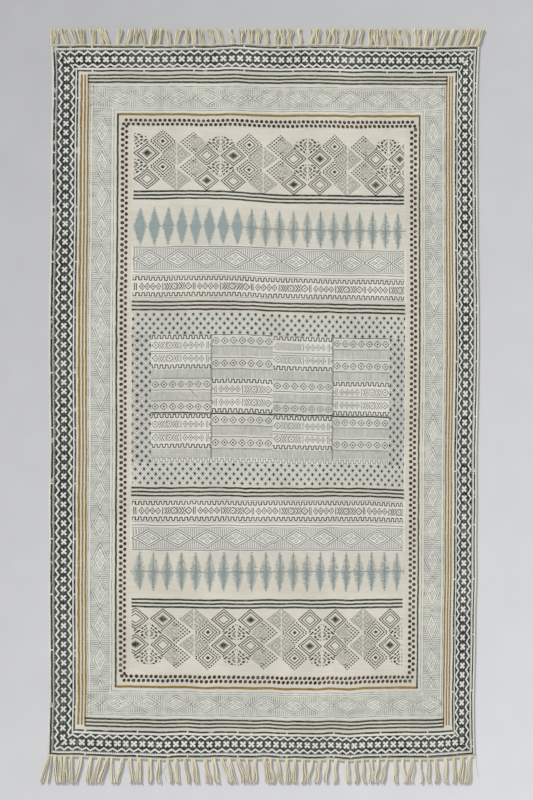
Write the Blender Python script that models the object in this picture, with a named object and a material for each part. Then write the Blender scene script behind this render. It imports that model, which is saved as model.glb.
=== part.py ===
"""Flat-woven cotton rug (dhurrie) lying flat, with its warp ends left as a fringe.

Three pieces: the woven cloth with its beaded selvedges, and at each end a row of
warp locks that grow out of a narrow woven strip. The shorter fringe is at +Y and
the longer one at -Y. The origin is the middle of the cloth's underside, and
everything lies on Z = 0. All sizes are in metres unless a name ends in _MM.
"""
from bisect import bisect_right
from math import pi, sin

import bmesh
import bpy

# ---- Driving dimensions -------------------------------------------------------
MM = 0.001
CLOTH_WIDTH = 1.200
CLOTH_LENGTH = 2.000
CLOTH_THICKNESS = 0.0040
SWELL_HEIGHT = 0.0003          # how far the woven face rises and falls
SWELL_LENGTH = 0.420
SWELL_SHIFT = 0.8              # the swells' phase across the rug, in radians
SWELL_STRETCH = 1.4            # their length along the rug over their width

SELVEDGE_WIDTH = 0.0110        # plain side edge, woven round a doubled cord
SELVEDGE_THICKNESS = 0.0048
SELVEDGE_SHOULDER = 0.0025     # from the outermost thread in to the bead's top
EDGE_HEIGHT = 0.0015           # height at which the rounded side edge starts
HEM_SHOULDER = 0.0030
HEM_EDGE_HEIGHT = 0.0022

STRIP_GAP = 0.0004             # cloth's end to the fringe's woven strip
STRIP_WIDTH = 0.0040
STRIP_HEIGHT = 0.0034
OUTER_SHARE = 0.8              # a strip's face further out than this is its outer wall
SHORT_FRINGE = 0.0500          # beyond the cloth's end, at +Y
LONG_FRINGE = 0.0710           # beyond the cloth's end, at -Y
TIP_SKEW = 0.004               # the shears cut the tips this much off square
TIP_RAGGED = 0.0008

STRANDS_PER_LOCK = 2
STRAND_GAP = 0.0007            # least air between two strands
LEAST_STRAND = 0.0012
STRAND_CROWN = 0.62            # width of a strand's top over its base
LATE_LEAN = 0.4                # share of a lock's lean that comes past its root
LOCK_BOW = 0.0011              # how far a lock bends aside on its way
BOW_TURN = 2.4                 # radians from one lock's bend to the next one's
TIP_SPREAD = 0.12              # how far a lock's strands part or close at the tip
SPREAD_TURN = 1.7
RAGGED_TURN = 5.1

# How far each side edge stands outside (+) or inside (-) its straight line.
# (along_mm from the -Y end, left_mm, right_mm)
SIDE_WAVES_MM = (
    (0, 1.5, -2.0), (100, 0.0, -4.5), (160, -2.5, -5.0), (300, -1.5, -3.5),
    (410, 0.0, -2.0), (500, 1.5, 1.0), (610, 0.0, 0.0), (720, 2.5, 1.0),
    (860, 0.0, 0.0), (1000, 1.5, 3.0), (1140, 2.5, 5.0), (1290, 1.5, 4.0),
    (1430, 0.0, 2.5), (1530, -2.5, 0.5), (1650, -1.5, -2.0), (1770, -1.0, -3.0),
    (1860, -0.5, -4.0), (1950, 0.0, 0.0), (2000, 1.0, 3.0),
)

# The same for the two ends. (across_mm from the middle, minus_y_mm, plus_y_mm)
END_WAVES_MM = (
    (-600, -6.5, -3.0), (-570, -4.0, -1.5), (-515, -4.5, -0.5), (-470, -2.0, -1.0),
    (-400, 0.0, 0.0), (-350, 0.5, -0.5), (-315, 2.0, -1.5), (-280, 4.0, -1.5),
    (-220, 0.5, 1.0), (-160, 2.5, 0.5), (-120, 0.0, 3.0), (-80, 0.5, 5.0),
    (-20, 1.5, 2.0), (15, -1.0, 0.5), (60, 2.0, -0.5), (100, 1.5, 1.5),
    (155, 4.0, 2.5), (195, 1.0, 2.5), (245, 5.5, -1.0), (290, 1.5, -0.5),
    (350, 0.5, -2.0), (385, 0.0, -2.5), (460, 0.0, -3.0), (495, -1.0, -2.0),
    (540, -5.0, -1.0), (600, -10.0, 1.0),
)

# Warp locks from left to right.
# (root_mm from the middle, lean_mm of the tip to the right, width_mm)
SHORT_LOCKS_MM = (
    (-596, 1, 10.0), (-584, -3, 10.0), (-552, -16, 14.0), (-530, -12, 12.5),
    (-510, -10, 14.0), (-479, -7, 11.0), (-455, -13, 11.0), (-437, -17, 12.5),
    (-412, 8, 10.0), (-388, 16, 11.0), (-361, 2, 10.0), (-338, -6, 11.0),
    (-318, 8, 10.0), (-298, 6, 11.0), (-266, -10, 11.0), (-247, 12, 12.5),
    (-217, 0, 10.0), (-197, -2, 14.0), (-169, -15, 10.0), (-143, -11, 10.0),
    (-116, -16, 10.0), (-89, -7, 11.0), (-65, -2, 10.0), (-39, -2, 14.0),
    (-18, -1, 11.0), (8, -2, 12.5), (35, 1, 12.5), (53, -4, 11.0),
    (73, -1, 12.5), (102, -2, 10.0), (130, 7, 11.0), (149, 1, 11.0),
    (175, 1, 17.0), (198, 2, 12.5), (222, 6, 11.0), (242, 10, 11.0),
    (271, 3, 11.0), (295, 6, 11.0), (319, -6, 11.0), (340, -4, 12.5),
    (362, -5, 12.5), (382, -8, 11.0), (406, -12, 10.0), (429, 0, 17.0),
    (455, 3, 11.0), (472, 11, 11.0), (494, 14, 11.0), (517, 18, 11.0),
    (541, 19, 11.0), (565, 16, 11.0), (584, 13, 12.0), (597, 16, 12.0),
)
LONG_LOCKS_MM = (
    (-597, -22, 7.0), (-590, -10, 4.5), (-581, 7, 10.0), (-567, 4, 12.0),
    (-553, 3, 11.0), (-534, -1, 10.0), (-507, -15, 10.0), (-479, -10, 11.0),
    (-454, -21, 12.5), (-433, -22, 10.0), (-421, 1, 9.0), (-391, -17, 12.5),
    (-370, 6, 11.0), (-344, 0, 14.0), (-313, -2, 12.5), (-288, 1, 8.5),
    (-264, 9, 8.5), (-242, 8, 11.0), (-215, 9, 10.0), (-193, 11, 14.0),
    (-158, 10, 12.5), (-136, 13, 14.0), (-113, 24, 11.0), (-92, 19, 12.5),
    (-66, 16, 11.0), (-42, 8, 12.5), (-18, -1, 11.0), (6, 15, 11.0),
    (25, 7, 11.0), (44, 12, 11.0), (71, 2, 11.0), (93, 0, 11.0),
    (117, -1, 12.5), (143, -12, 10.0), (164, -9, 11.0), (187, -5, 10.0),
    (211, -4, 11.0), (239, 6, 11.0), (265, 0, 8.5), (284, 6, 10.0),
    (307, 1, 11.0), (328, -4, 10.0), (353, -15, 8.5), (376, 4, 10.0),
    (397, 7, 8.5), (423, -6, 12.5), (446, 4, 8.5), (469, 3, 10.0),
    (490, 0, 11.0), (517, 3, 11.0), (541, -2, 10.0), (563, -1, 11.0),
    (586, -7, 12.5),
)

# A strand from its root to its tip. (how far along, width over the lock's share, height)
STRAND_SECTIONS = (
    (0.00, 0.80, 0.0034),
    (0.16, 0.86, 0.0036),
    (0.42, 0.98, 0.0034),
    (0.72, 1.00, 0.0030),
    (1.00, 0.92, 0.0024),
)

CREAM_COTTON = (0.61, 0.58, 0.47, 1.0)
STRAW_YARN = (0.55, 0.48, 0.31, 1.0)


# ---- Shape rules --------------------------------------------------------------
def between(table, place, column):
    """Straight-line reading of one column of a table at a place in its first."""
    stations = [row[0] for row in table]
    right = min(max(bisect_right(stations, place), 1), len(table) - 1)
    low, high = table[right - 1], table[right]
    share = min(max((place - low[0]) / (high[0] - low[0]), 0.0), 1.0)
    return low[column] + (high[column] - low[column]) * share


def cloth_point(across, along):
    """Where a point of the straight cloth lies once its edges are uneven."""
    rightness = across / CLOTH_WIDTH + 0.5
    forwardness = along / CLOTH_LENGTH + 0.5
    along_mm = (along + CLOTH_LENGTH / 2) / MM
    left = between(SIDE_WAVES_MM, along_mm, 1) * MM
    right = between(SIDE_WAVES_MM, along_mm, 2) * MM
    near = between(END_WAVES_MM, across / MM, 1) * MM
    far = between(END_WAVES_MM, across / MM, 2) * MM
    x = across - left * (1 - rightness) + right * rightness
    y = along - near * (1 - forwardness) ** 3 + far * forwardness ** 3
    return x, y


def swell(x, y):
    """Slow rise and fall of the woven face."""
    wave = 2 * pi / SWELL_LENGTH
    return SWELL_HEIGHT * sin(wave * x + SWELL_SHIFT) * sin(wave * y / SWELL_STRETCH)


def stations(half_size, steps, inner_places):
    """Places across the cloth: close together at each edge, then the table's own."""
    edge = [half_size - step for step in steps]
    inside = [place for place in inner_places if abs(place) < half_size - steps[-1]]
    return [-place for place in edge] + inside + edge[::-1]


def end_row(side):
    """The cloth's end, from left to right, as points of one straight-sided line."""
    places = [row[0] * MM for row in END_WAVES_MM]
    return [cloth_point(place, side * CLOTH_LENGTH / 2) for place in places]


def end_reach(edge, x, side):
    """The cloth's end at x, as far out as it comes anywhere within a strand of x."""
    nearby = [between(edge, x + step * STRIP_WIDTH / 2, 1) for step in (-2, -1, 0, 1, 2)]
    return max(nearby) if side > 0 else min(nearby)


def mesh_object(name, mesh_data, material, collection):
    mesh = bpy.data.meshes.new(name)
    bmesh.ops.recalc_face_normals(mesh_data, faces=mesh_data.faces[:])
    mesh_data.to_mesh(mesh)
    mesh_data.free()
    mesh.materials.append(material)
    piece = bpy.data.objects.new(name, mesh)
    collection.objects.link(piece)
    return piece


def new_material(name, colour, roughness):
    material = bpy.data.materials.new(name)
    material.use_nodes = True
    shader = material.node_tree.nodes["Principled BSDF"]
    shader.inputs["Base Color"].default_value = colour
    shader.inputs["Roughness"].default_value = roughness
    shader.inputs["Metallic"].default_value = 0.0
    return material


def grid_on(columns, rows, place):
    """A flat grid whose corners are put where place(column, row) says."""
    surface = bmesh.new()
    last_column, last_row = len(columns) - 1, len(rows) - 1
    bmesh.ops.create_grid(surface, x_segments=last_column, y_segments=last_row, size=0.5)
    for corner in surface.verts:
        column = round((corner.co.x + 0.5) * last_column)
        row = round((corner.co.y + 0.5) * last_row)
        corner.co = place(columns[column], rows[row])
    return surface


def drop_walls(surface, level):
    """Closes a top surface with walls down to a flat underside."""
    extruded = bmesh.ops.extrude_face_region(surface, geom=surface.faces[:])
    for item in extruded["geom"]:
        if isinstance(item, bmesh.types.BMVert):
            item.co.z = level


# ---- Cloth --------------------------------------------------------------------
def cloth_height(across, along):
    """Height of the woven face: rounded edges, thicker beads along both sides."""
    from_side = CLOTH_WIDTH / 2 - abs(across)
    from_end = CLOTH_LENGTH / 2 - abs(along)
    if from_side < SELVEDGE_SHOULDER / 2:
        return EDGE_HEIGHT
    if from_end < HEM_SHOULDER / 2:
        return HEM_EDGE_HEIGHT
    if from_side < SELVEDGE_WIDTH - SELVEDGE_SHOULDER / 2:
        return SELVEDGE_THICKNESS
    return CLOTH_THICKNESS + swell(across, along)


def make_cloth(collection):
    side_steps = (0.0, SELVEDGE_SHOULDER, SELVEDGE_WIDTH - SELVEDGE_SHOULDER, SELVEDGE_WIDTH)
    end_steps = (0.0, HEM_SHOULDER)
    across = [row[0] * MM for row in END_WAVES_MM]
    along = [row[0] * MM - CLOTH_LENGTH / 2 for row in SIDE_WAVES_MM]
    columns = stations(CLOTH_WIDTH / 2, side_steps, across)
    rows = stations(CLOTH_LENGTH / 2, end_steps, along)
    top = grid_on(columns, rows, lambda x, y: (*cloth_point(x, y), cloth_height(x, y)))
    drop_walls(top, 0.0)
    material = new_material("printed_cotton_flatweave", CREAM_COTTON, 0.9)
    return mesh_object("rug_cloth", top, material, collection)


# ---- Fringe -------------------------------------------------------------------
def lock_drift(lean, bow, along):
    """Sideways way of a lock's middle line from its root to its tip."""
    late = along * along * (3 - 2 * along)
    ease = (1 - LATE_LEAN) * along + LATE_LEAN * late
    return lean * ease + bow * sin(pi * along)


def strand_lines(locks_mm):
    """Each strand's middle and half width, at each of its sections."""
    strands = []
    for number, (root_mm, lean_mm, width_mm) in enumerate(locks_mm):
        share = width_mm * MM / STRANDS_PER_LOCK
        bow = LOCK_BOW * sin(BOW_TURN * number)
        for strand in range(STRANDS_PER_LOCK):
            shift = (strand - (STRANDS_PER_LOCK - 1) / 2) * share
            line = []
            for along, width, _ in STRAND_SECTIONS:
                middle = root_mm * MM + lock_drift(lean_mm * MM, bow, along)
                spread = width + TIP_SPREAD * along * sin(SPREAD_TURN * number)
                half = share * width / 2 - STRAND_GAP / 2
                line.append((middle + shift * spread, half))
            strands.append(line)
    return strands


def strand_sides(strands):
    """Left and right limits of each strand, kept clear of both neighbours."""
    limits = []
    for number, line in enumerate(strands):
        sides = []
        for section, (middle, half) in enumerate(line):
            left, right = middle - half, middle + half
            if number > 0:
                neighbour = strands[number - 1][section][0]
                left = max(left, (neighbour + middle + STRAND_GAP) / 2)
            if number < len(strands) - 1:
                neighbour = strands[number + 1][section][0]
                right = min(right, (neighbour + middle - STRAND_GAP) / 2)
            sides.append((left, right))
        limits.append(sides)
    return limits


def how_far_out(face, edge, side):
    """Place of a face across the strip: 0 on its inner wall and 1 on its outer one."""
    middle = face.calc_center_median()
    return (side * (middle.y - end_reach(edge, middle.x, side)) - STRIP_GAP) / STRIP_WIDTH


def make_fringe(name, locks_mm, side, reach, material, collection):
    """One end's woven strip with its strands drawn out of the strip's outer face."""
    limits = strand_sides(strand_lines(locks_mm))
    edge = end_row(side)
    start, finish = limits[0][0][0], limits[-1][0][1]
    columns = [start - STRAND_GAP]
    for sides in limits:
        columns.extend(sides[0])
    columns.append(finish + STRAND_GAP)

    def strip_corner(x, out):
        return x, end_reach(edge, x, side) + side * (STRIP_GAP + out), STRIP_HEIGHT

    strip = grid_on(columns, [0.0, STRIP_WIDTH], strip_corner)
    drop_walls(strip, 0.0)
    outer_walls = [face for face in strip.faces if how_far_out(face, edge, side) > OUTER_SHARE]
    outer_walls.sort(key=lambda face: face.calc_center_median().x)
    for number, sides in enumerate(limits):
        # the walls take turns: a gap, a strand, a gap, a strand ... a gap
        draw_strand(strip, outer_walls[2 * number + 1], number, sides, side, reach)
    return mesh_object(name, strip, material, collection)


def draw_strand(strip, face, number, sides, side, reach):
    """Draws one four-sided strand out of a face of the strip, resting on Z = 0."""
    root_y = face.calc_center_median().y
    ragged = TIP_RAGGED * sin(RAGGED_TURN * number)
    for (along, _, height), (left, right) in zip(STRAND_SECTIONS[1:], sides[1:]):
        middle = (left + right) / 2
        half = max((right - left) / 2, LEAST_STRAND / 2)
        tip_y = side * (CLOTH_LENGTH / 2 + reach + ragged) + TIP_SKEW * middle
        y = root_y + (tip_y - root_y) * along
        face = bmesh.ops.extrude_discrete_faces(strip, faces=[face])["faces"][0]
        centre = face.calc_center_median()
        for corner in face.verts:
            is_top = corner.co.z > centre.z
            reach_out = half * STRAND_CROWN if is_top else half
            direction = 1 if corner.co.x > centre.x else -1
            corner.co = (middle + direction * reach_out, y, height if is_top else 0.0)


# ---- Assembly -----------------------------------------------------------------
for old in list(bpy.data.objects):
    bpy.data.objects.remove(old, do_unlink=True)

rug = bpy.data.collections.new("dhurrie_rug")
bpy.context.scene.collection.children.link(rug)

make_cloth(rug)
yarn = new_material("undyed_cotton_warp", STRAW_YARN, 0.95)
make_fringe("fringe_short", SHORT_LOCKS_MM, 1, SHORT_FRINGE, yarn, rug)
make_fringe("fringe_long", LONG_LOCKS_MM, -1, LONG_FRINGE, yarn, rug)
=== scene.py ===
"""Hand-block-printed cotton dhurrie, spread flat and seen from above.

The cloth is one woven sheet whose face carries every printed band, worked out from the
blocks' own sizes, and each end has its warp left as a fringe of plied yarns. Sizes are in
metres, or in millimetres where a name ends in _MM or _mm and in everything that the
printed materials work out. The rug lies on Z = 0 with its length along Y.
"""
import random
from bisect import bisect_right
from math import cos, pi, radians, sin

import bmesh
import bpy
from mathutils import Euler, Matrix, Vector


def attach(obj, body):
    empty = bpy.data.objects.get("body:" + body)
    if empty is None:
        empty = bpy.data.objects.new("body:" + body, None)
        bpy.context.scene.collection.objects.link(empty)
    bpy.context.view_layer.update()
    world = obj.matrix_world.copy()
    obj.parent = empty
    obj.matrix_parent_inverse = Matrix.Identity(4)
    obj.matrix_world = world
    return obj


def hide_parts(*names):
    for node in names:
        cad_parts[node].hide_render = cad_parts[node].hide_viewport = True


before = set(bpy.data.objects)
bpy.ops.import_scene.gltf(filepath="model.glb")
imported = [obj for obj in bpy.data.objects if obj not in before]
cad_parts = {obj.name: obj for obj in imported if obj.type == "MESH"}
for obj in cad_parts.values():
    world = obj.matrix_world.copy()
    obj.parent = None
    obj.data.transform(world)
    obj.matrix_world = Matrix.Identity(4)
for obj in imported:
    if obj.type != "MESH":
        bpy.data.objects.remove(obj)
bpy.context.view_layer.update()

# ---- Woven cloth --------------------------------------------------------------
# The rug itself: a cotton flatweave, its weft packed over a thick warp and printed after
# weaving. It leaves the loom with a doubled cord in each side edge and a few tight rows
# at each end, and neither its edges nor its printed rows come out quite straight.
MM = 0.001
CLOTH_WIDTH = 1.200
CLOTH_LENGTH = 2.000
CLOTH_THICKNESS = 0.0040
SELVEDGE_WIDTH = 0.0110
SELVEDGE_THICKNESS = 0.0048
SELVEDGE_EDGE_HEIGHT = 0.0015
HEM_WIDTH = 0.003
HEM_EDGE_HEIGHT = 0.0022
SWELL_HEIGHT = 0.0003      # the cloth never lies quite flat
SWELL_LENGTH = 0.420
SIDE_WAVE_FADING = 6       # how quickly an edge's waves die out inside the cloth
END_WAVE_FADING = 3
GRID_STEP_MM = 22
FIELD_HALF_WIDTH_MM = 381

# How far each side edge stands outside (+) or inside (-) its straight line.
# (along_mm from the -Y end, left_mm, right_mm)
SIDE_WAVES_MM = (
    (0, 1.5, -2.0), (100, 0.0, -4.5), (160, -2.5, -5.0), (300, -1.5, -2.2),
    (410, 0.0, -2.0), (500, 0.8, 1.0), (610, -0.3, 0.0), (720, 1.5, 1.0),
    (860, -1.0, 0.0), (1000, 1.5, 3.0), (1140, 3.2, 5.0), (1290, 2.7, 4.0),
    (1430, 0.0, 0.8), (1530, -1.5, 0.0), (1650, -1.2, -1.8), (1770, -1.9, -2.0),
    (1860, -3.8, -2.0), (1925, -4.0, -0.5), (1965, -2.5, 1.0), (2000, -0.5, 3.0),
)

# The same for the two ends. (across_mm from the middle, minus_y_mm, plus_y_mm)
END_WAVES_MM = (
    (-600, -6.5, -3.0), (-570, -4.0, -1.5), (-515, -4.5, -0.5), (-470, -2.0, -1.0),
    (-400, 0.0, 0.0), (-350, 0.5, -0.5), (-315, 2.0, -1.5), (-280, 4.0, -1.5),
    (-220, 0.5, 1.0), (-160, 2.5, 0.5), (-120, 0.0, 3.0), (-80, 0.5, 5.0),
    (-20, 1.5, 2.0), (15, -1.0, 0.5), (60, 2.0, -0.5), (100, 1.5, 1.5),
    (155, 4.0, 2.5), (195, 1.0, 2.5), (245, 5.5, -1.0), (290, 1.5, -0.5),
    (350, 0.5, -2.0), (385, 0.0, -2.5), (460, 0.0, -3.0), (495, -1.0, -2.0),
    (540, -5.0, -1.0), (600, -10.0, 1.0),
)

# The printed middle came to lie right of the cloth's, so the blocks are wider spaced on the
# left. (printed place across, how far right it came to lie)
SIDEWAYS_DRIFT_MM = (
    (-600, 0.0), (-559, 1.4), (-537, 0.8), (-527, 1.3), (-520, 4.8), (-511, 5.6),
    (-501, 5.0), (-465, 9.8), (-424, 12.4), (-407, 15.0), (-381, 14.4), (0, 27.0),
    (381, 14.5), (407, 14.9), (424, 14.5), (465, 12.0), (501, 13.5), (511, 11.7),
    (520, 10.3), (531, 8.5), (538, 8.4), (551, 7.2), (559, 7.2), (567, 6.4),
    (575, 7.9), (588, 7.0), (593, 5.5), (600, 3.0),
)

# The same for the field between the dots, whose blocks crept further still to the right.
# (printed place across, how far right on the +Y half, and on the -Y half)
FIELD_DRIFT_MM = (
    (-381, 14.4, 14.4), (-365, 18.6, 19.9), (-288, 20.6, 21.6), (-212, 21.8, 25.8),
    (-136, 22.8, 28.0), (-60, 26.0, 30.5), (16, 28.5, 33.5), (93, 30.9, 33.0),
    (169, 28.8, 31.9), (245, 25.4, 26.4), (321, 21.5, 22.3), (359, 19.1, 20.3),
    (381, 14.5, 14.5),
)

# Each printed row lies this much further along than its place, at eight places across it.
ROW_DRIFT_AT_MM = (-400, -292, -180, -67, 45, 158, 270, 383)
ROW_DRIFT_MM = (
    (-1000, 0.0, 0.5, 0.5, 0.5, 0.0, 0.5, 0.5, 1.0),
    (-962, 0.0, 1.3, 0.6, 0.6, 0.0, 0.6, 0.5, 1.5),
    (-905, 1.4, 2.7, 1.1, -0.2, -2.1, -0.1, 0.4, 2.6),
    (-805, 3.4, 4.8, 1.8, 1.0, -0.8, 0.6, 3.2, 3.8),
    (-768, 4.4, 5.5, 3.0, 2.0, 1.0, 2.0, 4.0, 4.5),
    (-572, 7.5, 7.5, 4.5, 4.7, 6.4, 6.9, 7.9, 9.0),
    (-484, 7.0, 6.7, 5.1, 5.9, 7.8, 8.9, 8.9, 9.5),
    (-391, 8.0, 7.2, 7.0, 7.0, 8.5, 9.0, 9.0, 7.0),
    (-315, 8.0, 8.7, 10.0, 8.2, 9.2, 10.2, 10.2, 5.5),
    (-261, 7.6, 7.2, 8.2, 6.0, 6.6, 8.8, 8.0, 2.6),
    (-60, 9.0, 10.8, 10.1, 9.4, 5.8, 3.0, 2.6, 0.0),
    (210, 7.7, 7.8, 8.6, 8.3, 4.4, 0.9, 0.0, -1.0),
    (261, 8.2, 8.1, 9.8, 7.8, 4.4, 2.4, 2.1, 0.0),
    (391, 8.5, 9.0, 9.5, 6.5, 2.5, -1.0, 0.0, -1.0),
    (425, 8.4, 11.0, 12.0, 10.5, 6.0, 3.5, 2.0, 0.0),
    (484, 8.0, 9.9, 10.7, 4.5, -0.8, -4.0, -1.7, -3.0),
    (572, 6.7, 8.0, 8.4, 1.1, -3.9, -4.7, -4.7, -4.1),
    (655, 6.0, 7.0, 6.0, 0.5, -3.5, -4.5, -4.0, -3.0),
    (768, 4.0, 4.0, 1.5, -0.8, -2.0, -3.0, -1.5, 2.0),
    (805, 1.1, 2.1, -0.9, -1.9, -1.6, -2.8, -0.9, 1.0),
    (905, 1.7, 2.5, 0.8, -1.4, 1.0, -1.7, -0.6, 0.7),
    (962, -2.1, 0.0, -1.4, -1.4, -1.4, -2.1, -0.7, 0.7),
    (1000, 0.0, 0.0, -0.7, -0.7, -0.7, -1.0, -0.3, 0.0),
)

# What is printed outside each of these nested rectangles, from the edge inwards.
# (name, half width, half length)
PRINT_FRAMES_MM = (
    ("selvedge", 596, 1000),
    ("star_border", 526, 926),
    ("ochre_rules", 502.5, 926),
    ("olive_rules", 502.5, 889.5),
    ("ochre_rules", 498, 889.5),
    ("pale_diamonds_ends", 498, 811),
    ("pale_diamonds_sides", 429, 811),
    ("dots_ends", 429, 768),
    ("dots_sides", 386, 768),
)

# The field's rows, alike above and below the middle. (name, far edge of the row)
FIELD_ROWS_MM = (
    ("panels", 180), ("trellis_rows", 241.5), ("brown_rules", 281), ("meander_band", 350.5),
    ("inner_diamonds", 427.5), ("spears", 545), ("rhombs", 768),
)
PANEL_FIELD_MM = 334


def between(table, place, column):
    """Straight-line reading of one column of a table at a place in its first."""
    stations = [row[0] for row in table]
    right = min(max(bisect_right(stations, place), 1), len(table) - 1)
    low, high = table[right - 1], table[right]
    share = min(max((place - low[0]) / (high[0] - low[0]), 0.0), 1.0)
    return low[column] + (high[column] - low[column]) * share


def eased(low, high, place):
    """0 up to low, 1 from high on, and a smooth rise between."""
    share = min(max((place - low) / (high - low), 0.0), 1.0)
    return share * share * (3 - 2 * share)


def printed_to_cloth(u_mm, v_mm):
    """Where a place in the print came to lie on the straight cloth, in metres."""
    drifts = [between(ROW_DRIFT_MM, v_mm, column + 1) for column in range(len(ROW_DRIFT_AT_MM))]
    drift_v = between(list(zip(ROW_DRIFT_AT_MM, drifts)), u_mm, 1)
    drift_u = between(SIDEWAYS_DRIFT_MM, u_mm, 1)
    if abs(u_mm) < FIELD_HALF_WIDTH_MM:
        far, near = (between(FIELD_DRIFT_MM, u_mm, column) for column in (1, 2))
        # the two halves meet below the panels, and the field ends under the dots
        in_field = near + (far - near) * eased(-330, -180, v_mm)
        drift_u += (in_field - drift_u) * (1 - eased(750, 800, abs(v_mm)))
    return (u_mm + drift_u) * MM, (v_mm + drift_v) * MM


def cloth_point(across, along):
    """Where a point of the straight cloth lies once its edges are uneven."""
    rightness = across / CLOTH_WIDTH + 0.5
    forwardness = along / CLOTH_LENGTH + 0.5
    along_mm = (along + CLOTH_LENGTH / 2) / MM
    left = between(SIDE_WAVES_MM, along_mm, 1) * MM
    right = between(SIDE_WAVES_MM, along_mm, 2) * MM
    near = between(END_WAVES_MM, across / MM, 1) * MM
    far = between(END_WAVES_MM, across / MM, 2) * MM
    x = across - left * (1 - rightness) ** SIDE_WAVE_FADING
    x += right * rightness ** SIDE_WAVE_FADING
    y = along - near * (1 - forwardness) ** END_WAVE_FADING
    y += far * forwardness ** END_WAVE_FADING
    return x, y


def cloth_height(u_mm, v_mm):
    """Height of the woven face: rounded edges, and a thicker cord along both sides."""
    from_side = CLOTH_WIDTH / 2 - abs(u_mm) * MM
    from_end = CLOTH_LENGTH / 2 - abs(v_mm) * MM
    wave = 2 * pi / SWELL_LENGTH
    swell = SWELL_HEIGHT * sin(wave * u_mm * MM + 0.8) * sin(wave * v_mm * MM / 1.4)
    face = CLOTH_THICKNESS + swell
    cord = sin(pi * min(from_side / SELVEDGE_WIDTH, 1.0)) ** 0.5 if from_side > 0 else 0.0
    inner = eased(0.4, 1.0, from_side / SELVEDGE_WIDTH)
    height = SELVEDGE_EDGE_HEIGHT + (face - SELVEDGE_EDGE_HEIGHT) * inner
    height += (SELVEDGE_THICKNESS - height) * cord * (1 - inner)
    if from_end >= HEM_WIDTH:
        return height
    hem = eased(-0.6, 1.0, from_end / HEM_WIDTH)
    return HEM_EDGE_HEIGHT + (height - HEM_EDGE_HEIGHT) * hem


def evenly(start, finish, step):
    """Evenly spaced places from start up to finish, which is left out, about step apart."""
    count = max(1, round((finish - start) / step))
    return [start + (finish - start) * number / count for number in range(count)]


def mirrored(places):
    """The same places on both sides of nought, in order and without doubles."""
    return sorted({round(side * place, 3) for place in places for side in (-1, 1)})


def print_zone(u_mm, v_mm):
    """Name of the block that printed this part of the face."""
    for name, half_width, half_length in PRINT_FRAMES_MM:
        if abs(u_mm) > half_width or abs(v_mm) > half_length:
            return name
    for name, far_edge in FIELD_ROWS_MM:
        if abs(v_mm) < far_edge:
            beside = name == "panels" and abs(u_mm) > PANEL_FIELD_MM
            return "trellis_sides" if beside else name
    return "rhombs"


# The sheet's lines of vertices: on every edge of a printed zone, between them, and closer
# together where the selvedge and the hem are rounded.
ACROSS_STEPS_MM = (
    0, 167, PANEL_FIELD_MM, 365, FIELD_HALF_WIDTH_MM, 386, 429, 498, 502.5, 511, 520, 526, 589,
    596,
)
ALONG_STEPS_MM = (0, 180, 241.5, 281, 350.5, 427.5, 545, 768, 811, 889.5, 926, 994)
SELVEDGE_STEPS_MM = (600.0, 599.4, 598.4, 597.2, 593, 591)
HEM_STEPS_MM = (1000.0, 999.2, 998, 996.8)


def mesh_lines(steps_mm, edge_steps_mm):
    """Where the sheet's lines lie, in order from one edge to the other."""
    half = [*edge_steps_mm, steps_mm[-1]]
    for low, high in zip(steps_mm[:-1], steps_mm[1:]):
        half += evenly(low, high, GRID_STEP_MM)
    return mirrored(half)


columns_mm = mesh_lines(ACROSS_STEPS_MM, SELVEDGE_STEPS_MM)
rows_mm = mesh_lines(ALONG_STEPS_MM, HEM_STEPS_MM)

cloth_mesh = bmesh.new()
last_column, last_row = len(columns_mm) - 1, len(rows_mm) - 1
bmesh.ops.create_grid(cloth_mesh, x_segments=last_column, y_segments=last_row, size=0.5)
printed_place = cloth_mesh.loops.layers.uv.new("printed_place")
zone_names = ["underside"]
for face in cloth_mesh.faces:
    middle = Vector((0, 0))
    for loop in face.loops:
        column = round((loop.vert.co.x + 0.5) * last_column)
        row = round((loop.vert.co.y + 0.5) * last_row)
        place = Vector((columns_mm[column], rows_mm[row]))
        middle += place / len(face.loops)
        loop[printed_place].uv = place * MM
    zone = print_zone(middle.x, middle.y)
    if zone not in zone_names:
        zone_names.append(zone)
    face.material_index = zone_names.index(zone)
for corner in cloth_mesh.verts:
    u_mm = columns_mm[round((corner.co.x + 0.5) * last_column)]
    v_mm = rows_mm[round((corner.co.y + 0.5) * last_row)]
    x, y = cloth_point(*printed_to_cloth(u_mm, v_mm))
    corner.co = (x, y, cloth_height(u_mm, v_mm))

# the back is the same sheet, pressed flat on the floor
dropped = bmesh.ops.extrude_face_region(cloth_mesh, geom=cloth_mesh.faces[:])["geom"]
for item in dropped:
    if isinstance(item, bmesh.types.BMVert):
        item.co.z = 0.0
for face in cloth_mesh.faces:
    heights = [corner.co.z for corner in face.verts]
    if max(heights) == 0:
        face.material_index = zone_names.index("underside")
    elif min(heights) == 0:
        face.material_index = zone_names.index("selvedge")
bmesh.ops.recalc_face_normals(cloth_mesh, faces=cloth_mesh.faces[:])
for face in cloth_mesh.faces:
    face.smooth = True
cloth_data = bpy.data.meshes.new("block_printed_cloth")
cloth_mesh.to_mesh(cloth_data)
cloth_mesh.free()
cloth = bpy.data.objects.new("block_printed_cloth", cloth_data)
bpy.context.scene.collection.objects.link(cloth)

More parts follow.
